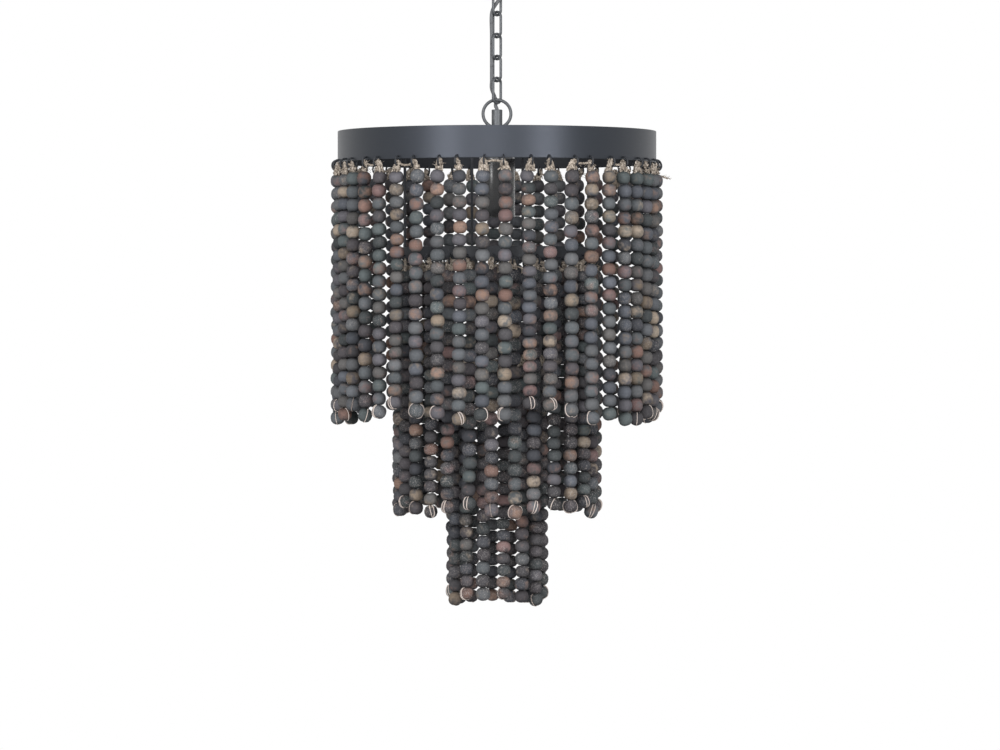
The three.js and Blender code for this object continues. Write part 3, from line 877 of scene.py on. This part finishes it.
def fibres(roots, count):
    """Loose fibres from random places near the roots, drooping a little."""
    directions = unit(random.normal(0, 1, (count, 3)) * np.array([1, 1, 0.8]))
    lengths = random.uniform(*FIBRE_LENGTH_MM, (count, 1, 1)) * MM
    droop = random.normal(0, FIBRE_CURL, (count, 1, 3)) + np.array(FIBRE_DROOP)
    starts = roots[random.integers(0, len(roots), count)]
    starts = starts + random.normal(0, FIBRE_SCATTER, (count, 3))
    return drooping(starts[:, None], lengths, directions[:, None], droop, 5)


def tails(root, outward, sideways):
    """Two loose ends of twine from a knot, which stand out and then droop."""
    turn = random.uniform(*TAIL_TURN, (2, 1)) * random.choice([-1, 1])
    directions = (outward * np.sin(turn) ** 2 + sideways * np.sin(turn * 1.5))[:, None]
    lengths = random.uniform(*TAIL_LENGTH_MM, (2, 1, 1)) * MM
    droop = np.array(TAIL_DROOP) + random.normal(0, TAIL_CURL, (2, 1, 3))
    return drooping(root, lengths, directions, droop, 8)


def laces(middle, rotation, size, outward):
    """Thin twine over the last bead, from its upper hole round its belly to its lower
    hole: half circles that follow the bead's outline, side by side or opposite."""
    facing = outward @ rotation
    spread = random.choice(LACE_SPREADS)
    middle_angle = math.atan2(facing[1], facing[0]) + random.normal(0, LACE_TURN_SPREAD)
    angles = middle_angle + spread * np.array([-0.5, 0.5])
    t = np.linspace(LACE_END, math.pi - LACE_END, 13)
    radius = (BEAD_RADIUS + LACE_RADIUS * 0.2) * size[0] * np.sin(t) ** 0.6
    height = (BEAD_HALF_HEIGHT + LACE_RADIUS * 0.6) * size[2] * np.cos(t)
    local = np.stack([
        radius[None] * np.cos(angles)[:, None],
        radius[None] * np.sin(angles)[:, None],
        np.broadcast_to(height, (len(angles), len(t))),
    ], axis=-1)
    across = np.stack([-np.sin(angles), np.cos(angles), np.zeros(len(angles))], axis=-1)
    return middle + local @ rotation.T, (across @ rotation.T)[:, None, :]


def twine_piece(name, tops, outward, sideways, strands):
    """All the twine of a pair: bows through the rings, knots, a bridge between some
    rings, loose fibres, and the lacing of the last beads."""
    surfaces, lacing = [], []
    rings = [tops[0] + TWINE_BESIDE_RING * sideways, tops[1] - TWINE_BESIDE_RING * sideways]
    for ring, (middles, rotations, sizes), direction in zip(rings, strands, (-1, 1)):
        bead_top = middles[0] + rotations[0] @ upward(BEAD_HALF_HEIGHT * sizes[0, 2])
        foot = bead_top - upward(BOW_FOOT_IN_BEAD)
        fullness = random.uniform(*KNOT_FULLNESS)
        through_ring = bows(ring, foot, outward, sideways, fullness)
        surfaces.append(tubes(through_ring, TWINE_RADIUS, 6, outward))
        knot = ring * KNOT_PLACE + bead_top * (1 - KNOT_PLACE) + upward(KNOT_LIFT)
        knot_radius = (KNOT_RADIUS_MM[0] + KNOT_RADIUS_MM[1] * fullness) * MM
        winding = coil(knot, knot_radius, KNOT_HEIGHT, 3, direction)
        surfaces.append(tubes(winding, TWINE_RADIUS * 0.85, 5, UP))
        over = ring + upward(WRAP_LIFT) + outward * random.uniform(*WRAP_OUT_MM) * MM
        wrap = coil(over, WRAP_RADIUS, WRAP_HEIGHT, 2, -direction)
        surfaces.append(tubes(wrap, TWINE_RADIUS * 0.8, 5, UP))
        if random.random() < TAIL_SHARE:
            surfaces.append(tubes(tails(knot, outward, sideways), TWINE_RADIUS * 0.75, 5, UP))
        hairs = fibres(np.array([knot, over, ring]), FIBRES_PER_STRAND)
        surfaces.append(tubes(hairs, FIBRE_RADIUS, 3, FIBRE_ACROSS))
        if random.random() < LACED_SHARE:
            paths, across = laces(middles[-1], rotations[-1], sizes[-1], outward)
            lacing.append(tubes(paths, LACE_RADIUS, 5, across))
        bead_end = upward((BEAD_HALF_HEIGHT - STOPPER_IN_BEAD) * sizes[-1, 2])
        place = middles[-1] - rotations[-1] @ bead_end
        stopper = coil(place, STOPPER_RADIUS, STOPPER_HEIGHT, 2, direction)
        lacing.append(tubes(stopper, LACE_RADIUS, 5, UP))
    if random.random() < BRIDGED_SHARE:
        sag = random.uniform(*BRIDGE_SAG_MM) * MM
        lift = upward(random.uniform(*BRIDGE_LIFT_MM) * MM)
        bridge = two_plies(rings[0] + lift, rings[1] + lift, sag, sideways)
        surfaces.append(tubes(bridge, PLY_RADIUS, 5, UP))
    point_counts = [sum(part[0].size // 3 for part in parts) for parts in (surfaces, lacing)]
    values = {"lacing": np.repeat([0.0, 1.0], point_counts)}
    piece(name.replace("strands", "twine"), surfaces + lacing, "jute", name, point_values=values)


def dress_frayed_end():
    """The longest loose end, at the right: two plies side by side along a drooping
    curve, with fibres that fan out towards the tip."""
    pair, hinge, outward, sideways = (places[FRAYED_PAIR] for places in pair_places("outer"))
    root = hinge + half_spacing("outer") * sideways - upward(FRAYED_DROP)
    droop = np.array(FRAYED_DROOP)
    path = drooping(root, FRAYED_LENGTH, outward, droop, 9)[0]
    apart = 0.6 * MM * np.cos(5 * np.linspace(0, 1, 9)[:, None]) * sideways
    surfaces = [tubes(np.stack([path + apart, path - apart]), TWINE_RADIUS * 0.9, 6, UP)]
    directions = unit(outward + random.normal(0, FRAYED_FIBRE_FAN, (FRAYED_FIBRES, 3)))
    lengths = random.uniform(*FRAYED_FIBRE_LENGTH_MM, (FRAYED_FIBRES, 1, 1)) * MM
    starts = path[random.integers(3, len(path), FRAYED_FIBRES)][:, None]
    hairs = drooping(starts, lengths, directions[:, None], droop, 5)
    surfaces.append(tubes(hairs, FIBRE_RADIUS, 3, FIBRE_ACROSS))
    piece("frayed_end", surfaces, "jute", pair)


def dress_strands(tier):
    names, hinges, outward, sideways = pair_places(tier)
    spacing = half_spacing(tier)
    for name, hinge, out, side in zip(names, hinges, outward, sideways):
        tops = [hinge - spacing * side, hinge + spacing * side]
        strands = [strand_of_beads(tier, top, out, side) for top in tops]
        beads_piece(tier, name, strands)
        twine_piece(name, tops, out, side, strands)


# Chain, canopy and hanging ring


CANOPY_WALL = 1.5 * MM
CANOPY_SHOULDER = 16 * MM
CANOPY_HOLE = 6.4 * MM
EYE_RADIUS = 12 * MM
EYE_WIRE = 2 * MM
EYE_FROM, EYE_TO = math.radians(128), math.radians(412)
EYE_STEPS = 60
EYE_COLLAR_GAP = 0.3 * MM
EYE_COLLAR_HEIGHT = 10 * MM
EYE_COLLAR_RADIUS = 9.5 * MM
EYE_COLLAR_EDGE = 1.4 * MM
NIPPLE_BORE = 3.3 * MM
NIPPLE_RADIUS = 6.0 * MM
NIPPLE_IN_COLLAR = 1 * MM
NIPPLE_THREAD_DEPTH = 0.45 * MM
NIPPLE_THREAD_STEPS = 41
RING_RADIUS = 17.5 * MM
RING_WIRE = 2 * MM
RING_STEPS = 72
RING_COLLAR_RADIUS = 11 * MM
RING_COLLAR_HOLE = 7.0 * MM
RING_COLLAR_DROP = 15.5 * MM
RING_COLLAR_EDGE = 1.2 * MM
STEM_BORE = 5 * MM
STEM_EDGE = 0.8 * MM


def stadium(width, length, steps):
    """A closed oval path in X and Z: two straight sides joined by half circles."""
    radius = width / 2
    straight = length / 2 - radius
    angle = TURN * (np.arange(steps) + 0.5) / steps
    path = np.zeros((steps, 3))
    path[:, 0] = radius * np.cos(angle)
    path[:, 2] = radius * np.sin(angle) + np.sign(np.sin(angle)) * straight
    return path


def turn_about_z(points, angle):
    cos_a, sin_a = math.cos(angle), math.sin(angle)
    return points @ np.array([[cos_a, sin_a, 0], [-sin_a, cos_a, 0], [0, 0, 1]])


def upright_arc(radius, middle_height, angle):
    """Points (radius cos a, 0, middle height + radius sin a)."""
    points = np.zeros((len(angle), 3))
    points[:, 0] = radius * np.cos(angle)
    points[:, 2] = middle_height + radius * np.sin(angle)
    return points


def dress_chain():
    for index in range(LINK_COUNT):
        node = f"chain_link_{index + 1}"
        low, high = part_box(node)
        turn = LINK_TURN if index % 2 == 0 else -LINK_TURN
        path = turn_about_z(stadium(LINK_WIDTH, LINK_LENGTH, 56), turn)
        path[:, 2] += (low[2] + high[2]) / 2
        across = turn_about_z(np.array([[0, 1.0, 0]]), turn)[0]
        surface = tubes(path[None], LINK_WIRE, 12, across, closed=True)
        piece(f"link_{index + 1}_wire", [surface], "grey_steel", f"link_{index + 1}", (node,))


def cord_path():
    """A smooth curve through the cord's points, Catmull-Rom from b to c:
    (2 b + (c - a) t + (2 a - 5 b + 4 c - d) t^2 + (3 b - a - 3 c + d) t^3) / 2."""
    knots = np.array(CORD_POINTS_MM, dtype=float) * MM
    ends = np.concatenate([[2 * knots[0] - knots[1]], knots, [2 * knots[-1] - knots[-2]]])
    t = np.linspace(0, 1, 12, endpoint=False)[:, None]
    a, b, c, d = (ends[i:len(ends) - 3 + i, None] for i in range(4))
    square, cube = 2 * a - 5 * b + 4 * c - d, 3 * b - a - 3 * c + d
    curve = 0.5 * (2 * b + (c - a) * t + square * t ** 2 + cube * t ** 3)
    return np.concatenate([curve.reshape(-1, 3), knots[-1:]])


def dress_cord():
    """The cord in one stretch for each joint beside it."""
    path = cord_path()
    along = np.concatenate([[0], np.cumsum(np.linalg.norm(np.diff(path, axis=0), axis=1))])
    bodies = ["ceiling_fitting"] + [f"link_{i + 1}" for i in range(LINK_COUNT)] + ["fixture"]
    names = [f"link_{i + 1}_swing" for i in range(LINK_COUNT)] + ["fixture_swing"]
    heights = [JOINTS[name]["pos_m"][2] for name in names]
    cuts = [path[0, 2]] + [(a + b) / 2 for a, b in zip(heights, heights[1:])] + [path[-1, 2]]
    for number, (top, bottom) in enumerate(zip(cuts, cuts[1:])):
        first = int(np.argmin(np.abs(path[:, 2] - top)))
        last = int(np.argmin(np.abs(path[:, 2] - bottom)))
        part = path[first:last + 1]
        sleeve = tubes(part[None], CORD_RADIUS, CORD_SIDES, (0, 1, 0))
        values = {
            "along": np.repeat(along[first:last + 1], CORD_SIDES),
            "around": np.tile(all_round(CORD_SIDES), len(part)),
        }
        name = f"cord_stretch_{number + 1}"
        replaced = ("supply_cord",) if number == 0 else ()
        made = piece(name, [sleeve], "cord_cloth", None, replaced, values)
        start = (0, 0, heights[number] + CORD_BEND_REACH)
        end = (0, 0, heights[number] - CORD_BEND_REACH)
        bodies[number + 1]
        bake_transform(made)


def dress_canopy():
    """A spun cover with a quarter round shoulder and a hole for the nipple."""
    low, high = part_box("ceiling_canopy")
    rim, bottom = (high[0] - low[0]) / 2, low[2]
    middle = (rim - CANOPY_SHOULDER, bottom + CANOPY_SHOULDER)
    outer = quarter_round(middle, CANOPY_SHOULDER, 12, -1)
    inner = quarter_round(middle, CANOPY_SHOULDER - CANOPY_WALL, 12, -1)
    outline = np.concatenate([
        outer[::-1], [(rim, 0), (rim - CANOPY_WALL, 0)],
        inner, [(CANOPY_HOLE, bottom + CANOPY_WALL), (CANOPY_HOLE, bottom)],
    ])
    shell = turned(outline, 160)
    sharpened(piece("canopy_shell", [shell], "grey_steel", "ceiling_fitting", ("ceiling_canopy",)))


def dress_canopy_loop():
    """Collar with a rounded rim, a threaded hollow nipple above it, and the eye below."""
    low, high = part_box("canopy_loop")
    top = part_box("ceiling_canopy")[0][2] - EYE_COLLAR_GAP
    bottom = top - EYE_COLLAR_HEIGHT
    collar = pipe_outline(NIPPLE_BORE, EYE_COLLAR_RADIUS, bottom, top, EYE_COLLAR_EDGE)
    nipple_foot = top - NIPPLE_IN_COLLAR
    thread_height = np.linspace(nipple_foot, high[2], NIPPLE_THREAD_STEPS)
    thread_radius = NIPPLE_RADIUS - NIPPLE_THREAD_DEPTH * (np.arange(NIPPLE_THREAD_STEPS) % 2)
    thread = np.concatenate([
        [(NIPPLE_BORE, nipple_foot)],
        np.stack([thread_radius, thread_height], 1),
        [(NIPPLE_BORE, high[2])],
    ])
    eye_middle = low[2] + EYE_WIRE + EYE_RADIUS
    eye = upright_arc(EYE_RADIUS, eye_middle, np.linspace(EYE_FROM, EYE_TO, EYE_STEPS))
    eye = turn_about_z(eye, -LINK_TURN)
    across = turn_about_z(np.array([[0, 1.0, 0]]), -LINK_TURN)[0]
    surfaces = [turned(collar, 64), turned(thread, 48), tubes(eye[None], EYE_WIRE, 12, across)]
    sharpened(piece("canopy_eye", surfaces, "grey_steel", "ceiling_fitting", ("canopy_loop",)))


def dress_hanging_ring():
    """The ring that the last link holds, and the collar that joins it to the stem."""
    low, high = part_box("hanging_loop")
    middle = high[2] - RING_WIRE - RING_RADIUS
    ring = upright_arc(RING_RADIUS, middle, all_round(RING_STEPS))
    collar_top = middle - RING_COLLAR_DROP
    collar = pipe_outline(
        RING_COLLAR_HOLE, RING_COLLAR_RADIUS, low[2], collar_top, RING_COLLAR_EDGE
    )
    surfaces = [tubes(ring[None], RING_WIRE, 14, (0, 1, 0), closed=True), turned(collar, 64)]
    sharpened(piece("hanging_ring", surfaces, "grey_steel", "fixture", ("hanging_loop",)))


def dress_stem():
    low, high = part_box("stem_tube")
    outline = pipe_outline(STEM_BORE, (high[0] - low[0]) / 2, low[2], high[2], STEM_EDGE)
    sharpened(piece("stem_pipe", [turned(outline, 64)], "grey_steel", "fixture", ("stem_tube",)))


# Lower hoops' struts and the lampholder

STRUT_RADIUS = 1.8 * MM
STRUT_COUNT = 4
STRUT_ABOVE_EDGE = 0.5 * MM
MID_STRUT_PLACE = 119.5 * MM
STRUT_HEAD_RADIUS = 3.5 * MM
STRUT_HEAD_HEIGHT = 3 * MM
STRUT_HEAD_GAP = 0.3 * MM
INNER_STRUT_PLACE = 52.5 * MM
ARM_ABOVE_MID_EDGE = 7 * MM
ARM_BEND = 8 * MM
ARM_REACH = 119.9 * MM
CROSS_TURN = math.radians(15.5)
ARM_TURN = CROSS_TURN + math.radians(45)
CUP_WALL = 1.2 * MM
CUP_HOLE = 7.1 * MM
CUP_SHOULDER = 2.5 * MM
CUP_LIP = 0.3 * MM
CUP_LIP_RISE = 0.5 * MM
HOLDER_BORE = 13.7 * MM
HOLDER_DEPTH = 32 * MM
HOLDER_LIP = 0.4 * MM
HOLDER_WIRE_HOLE = 2 * MM
HOLDER_EDGE = 0.8 * MM
THREAD_RADIUS = 13.35 * MM
THREAD_WAVE = 0.45 * MM
THREAD_BACK = 13.75 * MM
THREAD_STEPS = 45
THREAD_STEPS_PER_TURN = 6
THREAD_FROM_MOUTH = 4 * MM
THREAD_FROM_FLOOR = 2 * MM
CONTACT_OUTLINE_MM = ((0.4, -3), (4, -2.2), (4, 0), (0.4, 0))
CONTACT_EDGE = 0.5 * MM


def rods(starts, ends, radius, sides=12):
    """Straight round rods between two rows of points."""
    t = np.linspace(0, 1, 2)[None, :, None]
    paths = starts[:, None] * (1 - t) + ends[:, None] * t
    return tubes(paths, radius, sides, (0.3, 0.5, 0.81))


def around(radius, turn, height):
    """One point for each strut, spaced evenly round the axis."""
    angle = turn + all_round(STRUT_COUNT)
    x, y = radius * np.cos(angle), radius * np.sin(angle)
    return np.stack([x, y, np.full(STRUT_COUNT, height)], axis=1)


def dress_struts(mid_bottom, inner_bottom):
    """Straight struts from the cross frame to the middle hoop, with their hexagonal heads,
    and arms that run in from the middle hoop and bend down to the inner one."""
    head_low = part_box("cross_frame")[1][2] + STRUT_HEAD_GAP
    foot, head_foot, head_top = (
        around(MID_STRUT_PLACE, CROSS_TURN, height)
        for height in (mid_bottom + STRUT_ABOVE_EDGE, head_low, head_low + STRUT_HEAD_HEIGHT)
    )
    struts = rods(foot, head_top, STRUT_RADIUS)
    heads = rods(head_foot, head_top, STRUT_HEAD_RADIUS, 6)
    sharpened(piece("mid_struts", [struts, heads], "dark_steel", "fixture"))
    arm_height = mid_bottom + ARM_ABOVE_MID_EDGE
    t = np.linspace(0, math.pi / 2, 9)
    angle = ARM_TURN + all_round(STRUT_COUNT)
    bend_out = INNER_STRUT_PLACE + ARM_BEND - ARM_BEND * np.cos(t)
    bend_up = arm_height - ARM_BEND + ARM_BEND * np.sin(t)
    out = np.concatenate([[INNER_STRUT_PLACE], bend_out, [ARM_REACH]])
    height = np.concatenate([[inner_bottom + STRUT_ABOVE_EDGE], bend_up, [arm_height]])
    paths = np.stack([
        np.cos(angle)[:, None] * out,
        np.sin(angle)[:, None] * out,
        np.broadcast_to(height, (STRUT_COUNT, len(height))),
    ], axis=-1)
    across = np.stack([-np.sin(angle), np.cos(angle), np.zeros(STRUT_COUNT)], axis=1)[:, None, :]
    piece("inner_struts", [tubes(paths, STRUT_RADIUS, 12, across)], "dark_steel", "fixture")


def dress_lampholder():
    """The cup, the lampholder inside it, and the holder's brass thread and contact."""
    low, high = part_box("socket_cup")
    outside = (high[0] - low[0]) / 2
    middle = (outside - CUP_SHOULDER, high[2] - CUP_SHOULDER)
    outer = quarter_round(middle, CUP_SHOULDER, 9, 1)
    inner = quarter_round(middle, CUP_SHOULDER - CUP_WALL, 9, 1)
    mouth = [
        (outside - CUP_WALL, low[2]), (outside - CUP_LIP, low[2]), (outside, low[2] + CUP_LIP_RISE),
    ]
    outline = np.concatenate([
        mouth, outer, [(CUP_HOLE, high[2]), (CUP_HOLE, high[2] - CUP_WALL)], inner[::-1],
    ])
    cup = piece("lamp_cup", [turned(outline, 128)], "socket_black", "fixture", ("socket_cup",))
    sharpened(cup, 50)
    holder_low, holder_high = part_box("lamp_holder")
    body = (holder_high[0] - holder_low[0]) / 2
    mouth_height, top = holder_low[2] + HOLDER_LIP, holder_high[2]
    floor = holder_low[2] + HOLDER_DEPTH
    shell = rounded([
        (HOLDER_BORE, mouth_height), (body, mouth_height), (body, top),
        (HOLDER_WIRE_HOLE, top), (HOLDER_WIRE_HOLE, floor), (HOLDER_BORE, floor),
    ], HOLDER_EDGE)
    surfaces = [turned(shell, 96)]
    sharpened(piece("holder_shell", surfaces, "holder_black", "fixture", ("lamp_holder",)))
    thread_low, thread_high = holder_low[2] + THREAD_FROM_MOUTH, floor - THREAD_FROM_FLOOR
    thread_height = np.linspace(thread_low, thread_high, THREAD_STEPS)
    wave = np.cos(TURN * np.arange(THREAD_STEPS) / THREAD_STEPS_PER_TURN)
    thread = np.concatenate([
        np.stack([THREAD_RADIUS - THREAD_WAVE * wave, thread_height], 1)[::-1],
        [(THREAD_BACK, thread_low), (THREAD_BACK, thread_high)],
    ])
    contact = rounded(np.array(CONTACT_OUTLINE_MM) * MM + (0, floor), CONTACT_EDGE)
    piece("holder_thread", [turned(thread, 96), turned(contact, 32)], "contact_brass", "fixture")


def paint_kept_nodes():
    """The nodes whose plain shape is right keep it and get a finish."""
    for node in ("mounting_bracket", "cross_frame"):
        made = frame["nodes"][node]
        made.data.materials.clear()
        made.data.materials.append(FINISHES["dark_steel"][0])


# Studio: floor, lamps, world and camera

FLOOR_PALE = (0.90, 0.90, 0.90)
LAMP_TARGET = (0, 0, -0.5)
WORLD_AMBIENT = 0.27
KEY_POWER = 106
FILL_POWER = 110
FRONT_POWER = 94
FLOOR_HEIGHT = -4.6
FLOOR_GLOW = 0.55
FLOOR_REACH = 30
FLOOR_SHADE_RADIUS = 2.5
FLOOR_WHITE_RADIUS = 6.0


def lamp(name, power, place, size, size_y):
    """A soft rectangular lamp at place that faces the object."""
    light = bpy.data.lights.new(name, "AREA")
    light.shape = "RECTANGLE"
    light.energy = power
    light.size = size
    light.size_y = size_y
    made = in_scene(name, light)
    made.location = place
    aim = Vector(LAMP_TARGET) - Vector(place)
    made.rotation_euler = aim.to_track_quat("-Z", "Y").to_euler()


def floor_paint():
    """Pale matt near the object, where its shadow falls, and white further out."""
    finish = Finish("floor_white", roughness=0.9, specular=0.1)
    finish.surface_gets(Base_Color=FLOOR_PALE)
    where = finish.node("ShaderNodeTexCoord", {}, {}, output=3)
    distance = finish.node("ShaderNodeVectorMath", {"operation": "LENGTH"}, {0: where}, output=1)
    far = distance.above(FLOOR_SHADE_RADIUS, FLOOR_WHITE_RADIUS) * (1 - FLOOR_GLOW) + FLOOR_GLOW
    glow = finish.node("ShaderNodeEmission", {}, {})
    pale = Value(finish, finish.surface.outputs[0])
    factors = {0: far * finish.seen_directly(), 1: pale, 2: glow}
    shown = finish.node("ShaderNodeMixShader", {}, factors)
    finish.feed(finish.tree.nodes["Material Output"].inputs["Surface"], shown)
    return finish.material


def studio():
    """A world that looks white and lights softly, three lamps, and the floor."""
    world = bpy.data.worlds.new("studio_world")
    bpy.context.scene.world = world
    world.use_nodes = True
    sky = Graph(world.node_tree)
    background = sky.tree.nodes["Background"]
    sky.feed(background.inputs["Color"], (1, 1, 1))
    levels = {0: sky.seen_directly(), 2: WORLD_AMBIENT, 3: 1.0}
    sky.feed(background.inputs["Strength"], sky.node("ShaderNodeMix", {}, levels))
    lamp("key_lamp", KEY_POWER, (-2.6, -3.6, 0.4), 1.1, 2.2)
    lamp("fill_lamp", FILL_POWER, (2.6, -3.8, 0.4), 1.0, 2.2)
    lamp("front_lamp", FRONT_POWER, (-0.4, -5.2, 0.75), 1.8, 1.2)
    mesh = bpy.data.meshes.new("floor")
    signs = [(-1, -1), (1, -1), (1, 1), (-1, 1)]
    corners = [(x * FLOOR_REACH, y * FLOOR_REACH, FLOOR_HEIGHT) for x, y in signs]
    mesh.from_pydata(corners, [], [(0, 1, 2, 3)])
    mesh.materials.append(floor_paint())
    in_scene("floor", mesh)


def camera():
    """The field of view holds the photograph's width at the lamp's axis."""
    data = bpy.data.cameras.new("photo_camera")
    data.sensor_width = SENSOR_WIDTH_MM
    field = IMAGE_WIDTH_PX * MM_PER_PIXEL * MM
    data.lens = SENSOR_WIDTH_MM * CAMERA_DISTANCE / field
    data.clip_end = 100
    made = in_scene("photo_camera", data)
    made.location = (CAMERA_SIDE, -CAMERA_DISTANCE, CAMERA_HEIGHT)
    made.rotation_euler = (math.pi / 2, 0, 0)
    bpy.context.scene.camera = made


camera()
studio()
bpy.context.scene.view_settings.view_transform = "Standard"
dress_cord()
dress_hoop("outer", "drum_band", "band_paint", "painted_band")
MID_BOTTOM = dress_hoop("mid", "mid_hoop", "dark_steel", "mid_strip")
INNER_BOTTOM = dress_hoop("inner", "inner_hoop", "dark_steel", "inner_strip")
dress_struts(MID_BOTTOM, INNER_BOTTOM)
dress_chain()
dress_canopy()
dress_canopy_loop()
dress_hanging_ring()
dress_stem()
dress_lampholder()
paint_kept_nodes()
for tier_name in TIERS:
    dress_strands(tier_name)
dress_frayed_end()
